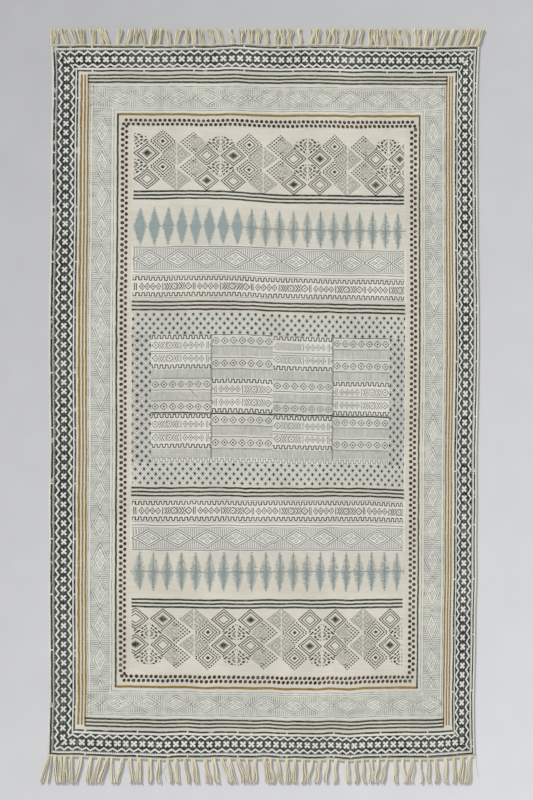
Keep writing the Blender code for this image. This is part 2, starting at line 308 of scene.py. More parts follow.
# ---- Cotton flatweave and the inks on it --------------------------------------
# Undyed cotton, matt and slightly hairy: fine ribs where the weft rides over each warp,
# slubs along the weft, and ink that sits on the ribs and misses the hollows, so every
# printed line looks a little broken.
COTTON = "CFCCBD"
RIB_MM = 5.6             # the real ribs are 3 mm apart: drawn coarser, or they wouldn't show
PICK_MM = 4.2            # and the real weft rows 1.4 mm
SLUBS_PER_MM = (0.012, 0.16, 1.0)    # slubs some 80 mm long and 6 mm thick
CLOUDS_PER_MM = 0.008    # light and dark patches of cloth, some 125 mm across
SPOTS_PER_MM = 0.16      # ink missing in spots 6 mm across
PATCHES_PER_MM = 0.045   # and thin in patches 22 mm across
WAVERS_PER_MM = 0.035    # a hand-cut line strays to and fro about every 29 mm
BLOCK_MM = (137.0, 152.0)    # one dip of ink lasts for one block


def from_hex(code):
    """An sRGB hex colour as a linear one."""
    shares = [int(code[place:place + 2], 16) / 255 for place in (0, 2, 4)]
    linear = [s / 12.92 if s <= 0.04045 else ((s + 0.055) / 1.055) ** 2.4 for s in shares]
    return (*linear, 1.0)


def shade(code, share):
    """A hex colour darkened to a share of its light, as a linear colour."""
    return (*[value * share for value in from_hex(code)[:3]], 1.0)


def node_adder(material):
    """Gives add(kind, feeds...), which makes one node and returns an output of it."""
    tree = material.node_tree

    def add(kind, *feeds, into=None, out=0, **settings):
        kind, _, operation = kind.partition(" ")
        node = tree.nodes.new("ShaderNode" + kind)
        if operation:
            node.operation = operation
        for name, value in settings.items():
            setattr(node, name, value)
        for name, feed in [*enumerate(feeds), *(into or {}).items()]:
            if isinstance(feed, bpy.types.NodeSocket):
                tree.links.new(feed, node.inputs[name])
            elif feed is not None:
                node.inputs[name].default_value = feed
        return node.outputs[out] if node.outputs else None

    return add


def start_print(name, unsteadiness_mm=1.6):
    """A new printed-cotton material, and the place in the print in millimetres."""
    material = bpy.data.materials.new(name)
    material.use_nodes = True
    material.node_tree.nodes.clear()
    add = node_adder(material)
    metres = add("UVMap", uv_map="printed_place")
    place = add("VectorMath SCALE", into={0: metres, "Scale": 1000.0})
    # the block was set down by hand and its edges are hand-cut
    waver = add("TexNoise", place, into={"Scale": WAVERS_PER_MM, "Detail": 1.0}, out=1)
    waver = add("VectorMath SUBTRACT", waver, (0.5, 0.5, 0.5))
    waver = add("VectorMath SCALE", into={0: waver, "Scale": 2.5 * unsteadiness_mm})
    place = add("VectorMath ADD", place, waver)
    split = add("SeparateXYZ", place)
    return material, add, split, split.node.outputs[1], place


def finish_print(material, add, place, inks, ground=COTTON):
    """Lays inks on the woven ground. Each is (coverage 0 to 1, colour, strength)."""
    split = add("SeparateXYZ", place)
    rib = add("Math SINE", add("Math MULTIPLY", split, 2 * pi / RIB_MM))
    pick = add("Math SINE", add("Math MULTIPLY", split.node.outputs[1], 2 * pi / PICK_MM))
    slub = add("VectorMath MULTIPLY", place, SLUBS_PER_MM)
    slub = add("TexNoise", slub, into={"Scale": 1.0, "Detail": 3.0})
    weave = add("Math MULTIPLY_ADD", slub, 2.4, add("Math MULTIPLY", rib, pick))
    cloudy = add("TexNoise", place, into={"Scale": CLOUDS_PER_MM, "Detail": 2.0})
    cloudy = add("MapRange", cloudy, 0.38, 0.62, 0.0, 1.0)
    colour = add("Mix", cloudy, into={6: from_hex(ground), 7: shade(ground, 0.91)},
                 data_type="RGBA", out=2)
    if inks:
        wear = add("TexNoise", place,
                   into={"Scale": SPOTS_PER_MM, "Detail": 2.0, "Roughness": 0.7})
        wear = add("MapRange", add("Math MULTIPLY_ADD", rib, 0.09, wear), 0.34, 0.48, 0.82, 1.0)
        patchy = add("TexNoise", place, into={"Scale": PATCHES_PER_MM, "Detail": 3.0})
        patchy = add("MapRange", patchy, 0.57, 0.70, 1.0, 0.84)
        block = add("VectorMath MULTIPLY", place, (1 / BLOCK_MM[0], 1 / BLOCK_MM[1], 0.0))
        dip = add("TexWhiteNoise", add("VectorMath FLOOR", block))
        dip = add("MapRange", dip, 0.0, 1.0, 0.93, 1.0)
        wear = add("Math MULTIPLY", add("Math MULTIPLY", wear, patchy), dip)
    for coverage, ink, strength in inks:
        amount = add("Math MULTIPLY", add("Math MULTIPLY", coverage, strength), wear)
        colour = add("Mix", amount, into={6: colour, 7: from_hex(ink)},
                     data_type="RGBA", out=2)
    # painted shade and light: the colour is darkened where the weave lies low, in its hollows, and
    # lightened on its ribs and slubs
    light = add("MapRange", weave, 0.2, 2.2, 0.90, 1.06)
    colour = add("VectorMath SCALE", into={0: colour, "Scale": light})
    bump = add("Bump", into={"Height": weave, "Strength": 0.5, "Distance": 0.0006})
    shader = add("BsdfPrincipled", into={
        "Base Color": colour, "Normal": bump, "Roughness": 0.93, "Sheen Weight": 0.12,
        "Sheen Roughness": 0.5, "Specular IOR Level": 0.25, "IOR": 1.5,
    })
    add("OutputMaterial", shader)
    return material


# Each printed zone's material, by the zone's name.
zone_materials = {}


# ---- Plain selvedges and underside --------------------------------------------
# Bare undyed weave: the corded side edges outside the print, and the back, which the
# block ink doesn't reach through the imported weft. The back looks a little yellower.
for zone, ground in (("selvedge", "CFCABB"), ("underside", "C9C3B3")):
    material, add, u, v, place = start_print("undyed_cotton_" + zone)
    zone_materials[zone] = finish_print(material, add, place, [], ground)


# ---- Star border --------------------------------------------------------------
# The outermost block, in navy: a chain of four-petalled stars in dark rings between two
# reserved zigzags, with a ruled line on each side. The blocks meet in a mitre.
NAVY = "05171A"
STAR_ROW_MM = 962.5            # the chain's middle in the end borders
STAR_COLUMN_MM = 559.2         # and in the side borders
END_STAR_PITCH_MM = 22.78
SIDE_STAR_PITCH_MM = 26.0
TOOTH_PITCH_MM = 4.4
END_BLOCK_MM = 136.6           # six stars
SIDE_BLOCK_MM = 156.0


def any_of(add, first, *others):
    """The heavier of several coverages at each place."""
    for other in others:
        first = add("Math MAXIMUM", first, other)
    return first


def rules(add, place, *lines):
    """Ruled lines across a place. Each is (middle, half width)."""
    drawn = [add("Math COMPARE", place, middle, half) for middle, half in lines]
    return any_of(add, *drawn)


def both(add, first, *others):
    """Where all of several coverages lie."""
    for other in others:
        first = add("Math MULTIPLY", first, other)
    return first


def without(add, coverage, reserve):
    """A coverage with a reserved shape left bare in it."""
    return add("Math SUBTRACT", coverage, reserve, use_clamp=True)


# Navy pigment, stamped wet: matt and nearly black, with cotton showing where it missed.
material, add, u, v, place = start_print("navy_block_print_on_cotton", 1.0)
from_column = add("Math SUBTRACT", add("Math ABSOLUTE", u), STAR_COLUMN_MM)
# the right-hand border's block was cut narrower
on_right = add("Math MULTIPLY_ADD", add("Math GREATER_THAN", u, 0.0), 0.14, 1.0)
from_column = add("Math MULTIPLY", from_column, on_right)
from_row = add("Math SUBTRACT", add("Math ABSOLUTE", v), STAR_ROW_MM)
in_row = add("Math GREATER_THAN", from_row, from_column)
outward = add("Math MAXIMUM", from_row, from_column)
# the two ends' chains begin at different places
along_row = add("Math MULTIPLY_ADD", add("Math SIGN", v), -3.9, add("Math ADD", u, 551.2))
along_row = add("Math PINGPONG", along_row, END_STAR_PITCH_MM / 2)
# block after block, the two side chains crept along by a little less than a star
left_creep = add("Math ADD", add("MapRange", v, -480.0, 330.0, -11.5, 2.5),
                 add("MapRange", v, -880.0, -620.0, 3.5, 0.0))
right_creep = add("Math ADD", add("MapRange", v, -430.0, 60.0, -15.5, 5.0),
                  add("MapRange", v, 60.0, 560.0, 0.0, 4.0))
right_creep = add("Math ADD", right_creep, add("MapRange", v, 580.0, 800.0, 0.0, -10.5))
creep = add("Mix", add("Math GREATER_THAN", u, 0.0), into={2: left_creep, 3: right_creep})
along_column = add("Math SUBTRACT", add("Math ADD", v, -930.8), creep)
along_column = add("Math PINGPONG", along_column, SIDE_STAR_PITCH_MM / 2)
along = add("Mix", in_row, into={2: along_column, 3: along_row})
from_chain = add("Math ABSOLUTE", outward)
zigzag = add("Math MULTIPLY_ADD", along, 0.68, from_chain)
zigzag = add("Math COMPARE", zigzag, 21.7, 2.6)
petal = add("CombineXYZ", along, from_chain, 0.0)
ring = add("VectorMath LENGTH", petal, out=1)
arm = add("Math COMPARE", add("Math SUBTRACT", along, from_chain), 0.0, 3.2)
arm = both(add, arm, add("Math LESS_THAN", ring, 7.5))
petal = add("VectorMath DISTANCE", petal, (4.7, 4.5, 0.0), out=1)
# down the left side the ink lay heavier: the pale petals are small there, and the teeth
# and the ruled lines thick
thin = add("Math MAXIMUM", in_row, add("Math GREATER_THAN", u, 540.0))
petal_radius = add("Math MULTIPLY_ADD", thin, 0.45, 3.05)
star = any_of(add, add("Math LESS_THAN", petal, petal_radius), arm)
body = add("Math LESS_THAN", from_chain, 24.8)
body = without(add, body, any_of(add, zigzag, star))
teeth_gap = add("Math MULTIPLY_ADD", thin, 0.7, 0.4)
teeth_half = add("Math MULTIPLY_ADD", thin, -0.8, 2.2)
teeth = both(add, add("Math COMPARE", outward, 26.0, teeth_half),
             add("Math GREATER_THAN", add("Math PINGPONG", along, TOOTH_PITCH_MM / 2), teeth_gap))
outer_place = add("Math MULTIPLY_ADD", thin, 1.0, 32.6)
outer_line = add("Math COMPARE", outward, outer_place, add("Math MULTIPLY_ADD", thin, -0.5, 3.1))
inner_half = add("Math MULTIPLY_ADD", thin, -0.3, 3.0)
inner_line = add("Math MULTIPLY_ADD", in_row, -2.0, -31.4)
inner_line = add("Math COMPARE", outward, inner_line, inner_half)
# the block is six stars long, and its lines don't quite meet where it was set down again
end_joint = add("Math MULTIPLY_ADD", add("Math SIGN", v), -5.0, add("Math ADD", u, 359.0))
end_joint = add("Math PINGPONG", end_joint, END_BLOCK_MM / 2)
side_joint = add("Math SUBTRACT", v, 428.0)
side_joint = add("Math MULTIPLY_ADD", add("Math LESS_THAN", u, 0.0), 45.0, side_joint)
side_joint = add("Math PINGPONG", side_joint, SIDE_BLOCK_MM / 2)
joint = add("Math LESS_THAN", add("Mix", in_row, into={2: side_joint, 3: end_joint}), 1.9)
dry = add("TexNoise", place, into={"Scale": PATCHES_PER_MM, "Detail": 1.0})
dry = add("MapRange", dry, 0.66, 0.70, 1.0, 0.6)
drawn_lines = both(add, any_of(add, outer_line, inner_line), dry,
                   add("MapRange", joint, 0.0, 1.0, 1.0, 0.15))
coverage = any_of(add, body, teeth, drawn_lines)
zone_materials["star_border"] = finish_print(
    material, add, place, [(coverage, NAVY, 1.0)], "DEDDD3")


# ---- Ochre and olive rules ----------------------------------------------------
# Three hand-ruled lines inside the star border: ochre down the two sides, their full
# length, and dark olive across the ends between them.
OCHRE = "866A2B"
OLIVE = "26281C"

# Each is (middle, half width).
OCHRE_RULES_MM = ((501.2, 2.6), (510.6, 2.6), (519.7, 2.6))
OLIVE_RULES_MM = ((895.8, 2.7), (905.6, 2.6), (915.8, 2.6))
OCHRE_LENGTH_MM = (2.0, 916.0)    # its middle and half its length

# Ochre pigment, ruled by hand: an opaque mustard brown of uneven width.
material, add, u, v, place = start_print("ochre_ruled_cotton", 1.1)
lines = rules(add, add("Math ABSOLUTE", u), *OCHRE_RULES_MM)
lines = both(add, lines, add("Math COMPARE", v, *OCHRE_LENGTH_MM))
zone_materials["ochre_rules"] = finish_print(
    material, add, place, [(lines, OCHRE, 1.0)], "D8D4C6")

# Olive pigment, ruled the same way: black at first sight, with a green cast.
material, add, u, v, place = start_print("olive_ruled_cotton", 1.1)
lines = rules(add, add("Math ABSOLUTE", v), *OLIVE_RULES_MM)
ochre_line = both(add, rules(add, add("Math ABSOLUTE", u), OCHRE_RULES_MM[0]),
                  add("Math COMPARE", v, *OCHRE_LENGTH_MM))
zone_materials["olive_rules"] = finish_print(
    material, add, place, [(ochre_line, OCHRE, 1.0), (lines, OLIVE, 1.0)])


# ---- Pale diamond border ------------------------------------------------------
# A wide band in thin grey ink: double-outlined diamonds with a four-petalled flower in
# each, on a ground of fine hatching across the band, between ruled lines.
PALE_GREY = "5F6767"
SIDE_BAND_MM = 465.0           # the band's middle down the sides
END_BAND_MM = 851.9            # and across the ends
BLOCK_HALF_HEIGHT_MM = 25.5    # the diamond block, before it was stretched to its band
HATCH_PITCH_MM = 5.8
HATCH_GAP_MM = 2.6


def away(add, place, middle):
    """Distance from a line."""
    return add("Math ABSOLUTE", add("Math SUBTRACT", place, middle))


def rhomb(add, x, y, half_width, half_height):
    """How far out of a rhomb a place is: 0 in its middle and 1 on its outline."""
    return add("Math ADD", add("Math DIVIDE", x, half_width),
               add("Math DIVIDE", y, half_height))


def hatching(add, along):
    """Fine lines side by side."""
    return add("Math GREATER_THAN", add("Math PINGPONG", along, HATCH_PITCH_MM / 2),
               HATCH_GAP_MM / 2)


def diamond_band(add, along, across, pitch, half_height, hatch_reach):
    """Diamonds in a row, and the hatching round them. across is from the band's middle."""
    reach = add("Math ABSOLUTE", across)
    across = add("Math MULTIPLY", reach, BLOCK_HALF_HEIGHT_MM / half_height)
    step = add("Math PINGPONG", along, pitch / 2)
    size = rhomb(add, step, across, pitch / 2 + 1.8, BLOCK_HALF_HEIGHT_MM)
    outlines = rules(add, size, (1.0, 0.05), (0.74, 0.05))
    hatch = both(add, hatching(add, along), add("Math GREATER_THAN", size, 1.1),
                 add("Math LESS_THAN", reach, hatch_reach))
    side_petal = rhomb(add, away(add, step, 12.0), across, 9.0, 5.0)
    end_petal = rhomb(add, step, away(add, across, 7.5), 6.0, 5.5)
    flower = any_of(add, rules(add, side_petal, (0.85, 0.17)), rules(add, end_petal, (0.85, 0.17)),
                    add("Math LESS_THAN", side_petal, 0.2))
    return any_of(add, outlines, flower), hatch


# Thinned black pigment: a soft grey that lets the cotton through and fades in patches.
for zone in ("pale_diamonds_sides", "pale_diamonds_ends"):
    part = zone.removeprefix("pale_diamonds_")
    material, add, u, v, place = start_print("pale_grey_block_print_on_cotton_" + part, 1.3)
    side, end = add("Math ABSOLUTE", u), add("Math ABSOLUTE", v)
    if part == "sides":
        across = add("Math SUBTRACT", side, SIDE_BAND_MM)
        band, hatch = diamond_band(add, add("Math SUBTRACT", v, 756.0), across, 93.0, 21.8, 22.4)
        lines = rules(add, across, (30.5, 0.9), (23.6, 0.7), (-23.6, 0.8), (-31.0, 0.9))
    else:
        # the end bands run on to the corners, where the ruled lines turn
        across = add("Math SUBTRACT", end, END_BAND_MM)
        band, hatch = diamond_band(add, add("Math ADD", u, 338.6), across, 80.2, 24.0, 25.2)
        hatch = both(add, hatch, add("Math LESS_THAN", side, 487.0))
        beside = both(add, hatching(add, v), add("Math COMPARE", side, SIDE_BAND_MM, 22.0),
                      add("Math LESS_THAN", across, -26.0))
        hatch = any_of(add, hatch, beside)
        lines = rules(add, across, (32.0, 0.9), (27.6, 0.7), (-28.5, 0.8), (-34.5, 0.9))
        lines = both(add, lines, any_of(add, add("Math LESS_THAN", side, 435.0),
                                        add("Math GREATER_THAN", across, 0.0)))
        turned = both(add, rules(add, side, (441.4, 0.8), (434.0, 0.9)),
                      add("Math LESS_THAN", end, 821.0))
        lines = any_of(add, lines, turned, rules(add, side, (495.0, 0.9), (488.6, 0.7)))
    faded = add("TexNoise", place, into={"Scale": 0.05, "Detail": 2.0})
    faded = add("MapRange", faded, 0.38, 0.62, 0.5, 1.0)
    band = both(add, any_of(add, band, lines), faded)
    zone_materials[zone] = finish_print(
        material, add, place,
        [(both(add, hatch, faded), PALE_GREY, 0.72), (band, PALE_GREY, 1.0)], "D8D7CB")


# ---- Green and ochre frame with its double row of dots ------------------------
# One dark green line down each side and one ochre line across each end make the frame of
# the field, with two staggered rows of maroon-black dots just inside it.
DARK_GREEN = "26331F"
MAROON_BLACK = "2A1A17"
DOT_RADIUS_MM = 4.9
SIDE_DOTS_MM = 406.6           # the middle between the two rows down the sides
END_DOTS_MM = 782.25           # and across the ends


def dot_pair(add, along, shift, across, half_pitch, spread, last):
    """Two staggered rows of round dots on both sides of a middle line, to a last place."""
    inner = add("Math LESS_THAN", across, 0.0)
    shift = add("Math MULTIPLY_ADD", inner, half_pitch, shift)
    shifted = add("Math ADD", along, shift)
    middle = add("Math SNAP", add("Math ADD", shifted, half_pitch), 2 * half_pitch)
    from_dot = add("Math SUBTRACT", shifted, middle)
    middle = away(add, middle, shift)
    across = add("Math SUBTRACT", add("Math ABSOLUTE", across), spread)
    reach = add("VectorMath LENGTH", add("CombineXYZ", from_dot, across, 0.0), out=1)
    return both(add, add("Math LESS_THAN", reach, DOT_RADIUS_MM),
                add("Math LESS_THAN", middle, last))


# Three dense, matt pigments: warm black dots, a mustard line and a green nearly as dark.
material, add, u, v, place = start_print("dotted_and_ruled_cotton", 1.2)
side, end = add("Math ABSOLUTE", u), add("Math ABSOLUTE", v)
side_shift = add("Math MULTIPLY_ADD", add("Math LESS_THAN", u, 0.0), 5.35, 2.5)
side_dots = dot_pair(
    add, v, side_shift, add("Math SUBTRACT", side, SIDE_DOTS_MM), 7.85, 5.2, 770.0)
end_dots = dot_pair(add, u, -7.0, add("Math SUBTRACT", end, END_DOTS_MM), 6.6, 5.8, 410.5)
green = both(add, rules(add, side, (424.0, 2.4)), add("Math LESS_THAN", end, 808.0))
ochre = both(add, rules(add, end, (805.5, 3.3)), add("Math LESS_THAN", side, 422.0))
dotted_cotton = finish_print(
    material, add, place,
    [(any_of(add, side_dots, end_dots), MAROON_BLACK, 1.0), (ochre, OCHRE, 1.0),
     (green, DARK_GREEN, 1.0)], "D4CEBE")
zone_materials["dots_ends"] = dotted_cotton
zone_materials["dots_sides"] = dotted_cotton


# ---- Rhomb patch and its navy rules -------------------------------------------
# The field's first block at each end, turned round at the -Y end: staggered rows of rhombs,
# outlined three times, beaded, grey or half dotted, and fans of leaves between them, closed
# by three navy ruled lines.
RHOMB_REPEAT_MM = 237.5
RHOMB_BLACK = "191F23"
MAIN_ROWS_MM = (655.2, 35.9)      # the middle of the two main rows, and half what parts them
HALF_ROWS_MM = (689.8, 35.2)      # the same for the rows half a step further out
RINGED_SIZE_MM = (33.6, 28.8)     # half widths and half heights
HEART_SIZE_MM = (17.0, 13.0)
DOTTED_SIZE_MM = (36.5, 32.5)
GREY_SIZE_MM = (41.0, 32.5)
MIXED_SIZE_MM = (38.0, 32.0)
NAVY_RULES_MM = ((583.4, 2.8), (573.2, 2.7), (563.0, 2.7))


def within(add, place, reach):
    """Where a place lies less than reach to either side of nought."""
    return add("Math LESS_THAN", add("Math ABSOLUTE", place), reach)


def lattice_dots(add, x, y, pitch_x, pitch_y, size):
    """Small rhomb-shaped dots on a staggered lattice."""
    x, y = add("Math DIVIDE", x, pitch_x), add("Math DIVIDE", y, pitch_y)
    rising = add("Math PINGPONG", add("Math ADD", x, y), 0.5)
    falling = add("Math PINGPONG", add("Math SUBTRACT", x, y), 0.5)
    return add("Math LESS_THAN", add("Math MAXIMUM", rising, falling), size)


# Black pigment off finely cut wood, crisp and dense, and thinned to a haze for the grey
# rhombs, with navy for their hearts and for the ruled lines.
material, add, u, v, place = start_print("navy_and_black_block_print_on_cotton", 1.2)
at_far_end = add("Math GREATER_THAN", v, 0.0)
x = add("Math MULTIPLY_ADD", at_far_end, 7.8, add("Math MULTIPLY", u, add("Math SIGN", v)))
rule_y = add("Math ABSOLUTE", v)
# at the +Y end the block went down a little askew
askew = add("Math MULTIPLY", at_far_end, add("MapRange", u, -340.0, -190.0, -2.8, 2.2))
y = add("Math ADD", add("Math ADD", askew, 2.8), rule_y)
# and its far left corner was drawn out a little
drawn_out = both(add, at_far_end, add("MapRange", u, -330.0, -80.0, -4.2, 0.0),
                 add("MapRange", y, 672.0, 722.0, 0.0, 1.0))
y = add("Math ADD", y, drawn_out)
upper = add("Math GREATER_THAN", y, MAIN_ROWS_MM[0])
main_y = away(add, away(add, y, MAIN_ROWS_MM[0]), MAIN_ROWS_MM[1])
half_y = away(add, away(add, y, HALF_ROWS_MM[0]), HALF_ROWS_MM[1])
half_rows_only = add("Math GREATER_THAN", y, 622.0)


def sideways_of(offset):
    """How far right of one of the repeat's columns: less than nought on its left."""
    shifted = add("Math ADD", x, 339.5 - offset)
    return add("Math WRAP", shifted, RHOMB_REPEAT_MM / 2, -RHOMB_REPEAT_MM / 2)


def column_of(offset):
    """Distance sideways from one of the repeat's columns."""
    return add("Math ABSOLUTE", sideways_of(offset))


# outlined three times, and every second one with a worn solid heart, the others hollow
dark_column, hollow_column = column_of(0.0), column_of(164.5)
ringed = add("Math MINIMUM", dark_column, hollow_column)
ringed = rhomb(add, ringed, main_y, *RINGED_SIZE_MM)
ringed_lines = rules(add, ringed, (0.98, 0.058), (0.735, 0.058))
heart = add("Mix", upper, into={2: hollow_column, 3: dark_column})
heart = rhomb(add, heart, main_y, *HEART_SIZE_MM)
hollow = add("Mix", upper, into={2: dark_column, 3: hollow_column})
hollow = rules(add, rhomb(add, hollow, main_y, *RINGED_SIZE_MM), (0.45, 0.05))
heart = add("MapRange", heart, 0.4, 1.0, 1.0, 0.3)
heart = both(add, heart, add("Math LESS_THAN", ringed, 0.5),
             add("Math GREATER_THAN", heart, 0.36))
# outlined twice inside a row of beads 7 mm apart
dotted = rhomb(add, column_of(43.0), half_y, *DOTTED_SIZE_MM)
along_edge = add("Math SUBTRACT", dotted, add("Math DIVIDE", half_y, 15.5))
beads = both(add, rules(add, dotted, (0.95, 0.085)),
             add("Math GREATER_THAN", add("Math PINGPONG", along_edge, 0.155), 0.065))
dotted_lines = rules(add, dotted, (0.69, 0.05), (0.43, 0.05))
dotted_heart = add("Math LESS_THAN", dotted, 0.17)
# grey and grainy, split down the middle, with rhombs one inside another in each half
grey_x = column_of(81.0)
grey = rhomb(add, grey_x, main_y, *GREY_SIZE_MM)
target = rhomb(add, away(add, grey_x, 14.5), main_y, 15.0, 15.0)
grain = add("TexNoise", place, into={"Scale": 0.22, "Detail": 1.0})
grain = add("MapRange", grain, 0.42, 0.56, 0.35, 1.0)
grey_lines = any_of(add, add("Math MULTIPLY", grain, 0.6), rules(add, grey, (0.93, 0.04)),
                    rules(add, target, (0.0, 0.24), (0.85, 0.13), (1.7, 0.13)))
grey_lines = both(add, grey_lines, add("Math LESS_THAN", grey, 0.98),
                  add("Math GREATER_THAN", grey_x, 1.4))
# grey rings in one half, and rhomb-shaped dots in the other and in the tips
mixed_x = sideways_of(128.0)
mixed = rhomb(add, add("Math ABSOLUTE", mixed_x), half_y, *MIXED_SIZE_MM)
in_mixed = both(add, add("Math LESS_THAN", mixed, 1.0), half_rows_only)
swirl = add("CombineXYZ", add("Math SUBTRACT", mixed_x, 9.5), half_y, 0.0)
swirl = add("VectorMath LENGTH", swirl, out=1)
mixed_grey = add("MapRange", add("Math PINGPONG", swirl, 3.2), 0.6, 1.6, 0.45, 1.0)
mixed_grey = both(add, in_mixed, add("Math LESS_THAN", swirl, 24.0), grain, mixed_grey,
                  add("Math GREATER_THAN", mixed_x, -6.0))
tip_dots = both(add, add("Math COMPARE", half_y, 24.0, 9.0),
                add("Math LESS_THAN", mixed_x, 10.0))
mixed_dots = any_of(add, add("Math LESS_THAN", mixed_x, -6.0), tip_dots)
mixed_dots = both(add, in_mixed, mixed_dots,
                  lattice_dots(add, mixed_x, half_y, 11.5, 10.0, 0.29))
# leaves in arcs round a bare eye, in a fan that is pointed on its inner side
leaf_x = column_of(202.5)
leaf_y = add("Math WRAP", add("Math SUBTRACT", y, 654.6), HALF_ROWS_MM[1], -HALF_ROWS_MM[1])
rise = add("Math MAXIMUM", add("Math DIVIDE", leaf_y, 21.0), 0.0)
fall = add("Math MAXIMUM", add("Math DIVIDE", leaf_y, -27.0), 0.0)
dome = add("CombineXYZ", add("Math DIVIDE", leaf_x, 38.0), rise, 0.0)
dome = add("VectorMath LENGTH", dome, out=1)
point = add("Math ADD", add("Math DIVIDE", leaf_x, 44.0), fall)
fan = add("Math LESS_THAN", add("Math MAXIMUM", dome, point), 1.0)
from_eye = add("Math SUBTRACT", leaf_y, 4.0)
arc = add("Math MAXIMUM", from_eye, 0.0)
arc = add("CombineXYZ", add("Math MULTIPLY", leaf_x, 0.85), arc, 0.0)
arc = add("VectorMath LENGTH", arc, out=1)
arc = add("Math SUBTRACT", arc, add("Math MINIMUM", from_eye, 0.0))
leaf_row = add("Math PINGPONG", add("Math SUBTRACT", arc, 8.0), 5.0)
leaf_place = add("Math MULTIPLY", add("Math ARCTAN2", leaf_x, from_eye), 6.6)
leaves = both(add, fan, half_rows_only, add("Math GREATER_THAN", ringed, 1.07),
              add("Math GREATER_THAN", leaf_x, 2.4), add("Math GREATER_THAN", arc, 4.5),
              add("Math LESS_THAN", leaf_row, 2.9),
              add("Math GREATER_THAN", add("Math PINGPONG", leaf_place, 1.6), 0.5))

fine = any_of(add, ringed_lines, hollow, both(add, dotted_lines, half_rows_only))
faint = any_of(add, grey_lines, mixed_grey)
beaded = both(add, any_of(add, beads, dotted_heart), half_rows_only)
strong = any_of(add, mixed_dots, leaves, beaded)
in_field = within(add, u, FIELD_HALF_WIDTH_MM)
zone_materials["rhombs"] = finish_print(
    material, add, place,
    [(both(add, faint, in_field), "565C5E", 0.66),
     (both(add, fine, in_field), RHOMB_BLACK, 1.0),
     (both(add, strong, in_field), RHOMB_BLACK, 1.0),
     (both(add, heart, in_field), NAVY, 1.0),
     (both(add, rules(add, rule_y, *NAVY_RULES_MM), in_field), NAVY, 1.0)], "D8D4C6")


# ---- Row of spears ------------------------------------------------------------
# Twenty upright spears in thin blue-grey ink at each end. The first eight at the +Y end
# came out solid; the others show the block's spine and barbs, as the ink was running low.
BLUE_GREY = "8D9B9A"
SPEAR_PITCH_MM = 38.1
SPEAR_MIDDLE_MM = 484.0
SPEAR_HALF_HEIGHT_MM = 55.0
SPEAR_HALF_WIDTH_MM = 16.0
BARB_PITCH_MM = 7.2

# Thin blue-grey pigment: chalky and flat where it is whole, streaked along the weft where
# it ran low, with a darker spine and barbs.
material, add, u, v, place = start_print("blue_grey_block_print_on_cotton", 1.4)
shifted = add("Math ADD", u, 364.6)
number = add("Math ROUND", add("Math DIVIDE", shifted, SPEAR_PITCH_MM))
character = add("TexWhiteNoise", into={"W": number}, noise_dimensions="1D")
from_spine = add("Math PINGPONG", shifted, SPEAR_PITCH_MM / 2)
# the row stands the same way up at both ends
above = add("Math MULTIPLY_ADD", add("Math SIGN", v), -SPEAR_MIDDLE_MM, v)
from_middle = add("Math ABSOLUTE", above)
lower = add("Math LESS_THAN", above, 0.0)
ragged = add("TexNoise", add("VectorMath MULTIPLY", place, (0.1, 0.45, 1.0)),
             into={"Scale": 1.0, "Detail": 2.0, "Roughness": 0.7})
# straight-sided above its middle, a little rounded below it, and flared between the two
taper = add("MapRange", from_middle, 0.0, 54.0, SPEAR_HALF_WIDTH_MM, 0.4)
rounded = add("Math POWER", add("Math DIVIDE", from_middle, 56.0), 2.0)
rounded = add("MapRange", rounded, 0.0, 1.0, SPEAR_HALF_WIDTH_MM, 0.6)
flare = add("MapRange", from_middle, 0.0, 7.0, 19.3, 0.0)
half_width = add("Mix", add("Math MULTIPLY", lower, 0.25), into={2: taper, 3: rounded})
half_width = add("Math MAXIMUM", half_width, flare)
edge = add("Math MULTIPLY_ADD", ragged, 16.0, -8.0)
edge = add("Math ADD", add("Math SUBTRACT", half_width, from_spine), edge)
blade = add("MapRange", edge, -2.4, 2.0, 0.0, 1.0)
# the barbs rise outwards from the spine
barbs = add("Math MULTIPLY_ADD", from_spine, -0.9, above)
barbs = add("MapRange", add("Math PINGPONG", barbs, BARB_PITCH_MM / 2), 1.3, 2.4, 0.0, 1.0)
barbs = both(add, barbs, blade, add("MapRange", ragged, 0.38, 0.52, 0.1, 1.0))
upper_core = add("MapRange", above, 0.0, 24.0, 5.5, 1.8)
lower_core = add("MapRange", from_middle, 0.0, 52.0, 8.0, 0.8)
core_half = add("Mix", lower, into={2: upper_core, 3: lower_core})
core_half = add("Math MULTIPLY_ADD", character, 1.6, core_half)
core_half = add("Math MULTIPLY_ADD", add("Math SUBTRACT", ragged, 0.55), 8.0, core_half)
core = add("MapRange", add("Math SUBTRACT", core_half, from_spine), -0.8, 0.8, 0.0, 1.0)
core = both(add, core, blade)
solid = both(add, add("Math LESS_THAN", number, 7.5), add("Math GREATER_THAN", v, 0.0))
thinned = add("MapRange", ragged, 0.40, 0.60, 0.12, 0.62)
pale = both(add, blade, add("Math MAXIMUM", solid, thinned))
worn = add("Math SUBTRACT", 1.0, solid)
link = add("Math MULTIPLY", add("Math LESS_THAN", from_middle, 1.6), 0.8)
barbs = both(add, worn, any_of(add, barbs, link))
spine = both(add, worn, blade, add("Math LESS_THAN", from_spine, 1.3))
core = both(add, worn, core)
in_row = both(add, add("Math LESS_THAN", from_middle, SPEAR_HALF_HEIGHT_MM),
              within(add, u, FIELD_HALF_WIDTH_MM + 4.0))
zone_materials["spears"] = finish_print(
    material, add, place,
    [(both(add, pale, in_row), BLUE_GREY, 1.0),
     (both(add, barbs, in_row), "66706F", 0.75),
     (both(add, core, in_row), "82908F", 0.75),
     (both(add, spine, in_row), "5F6C6D", 0.25)], "D5D1C3")


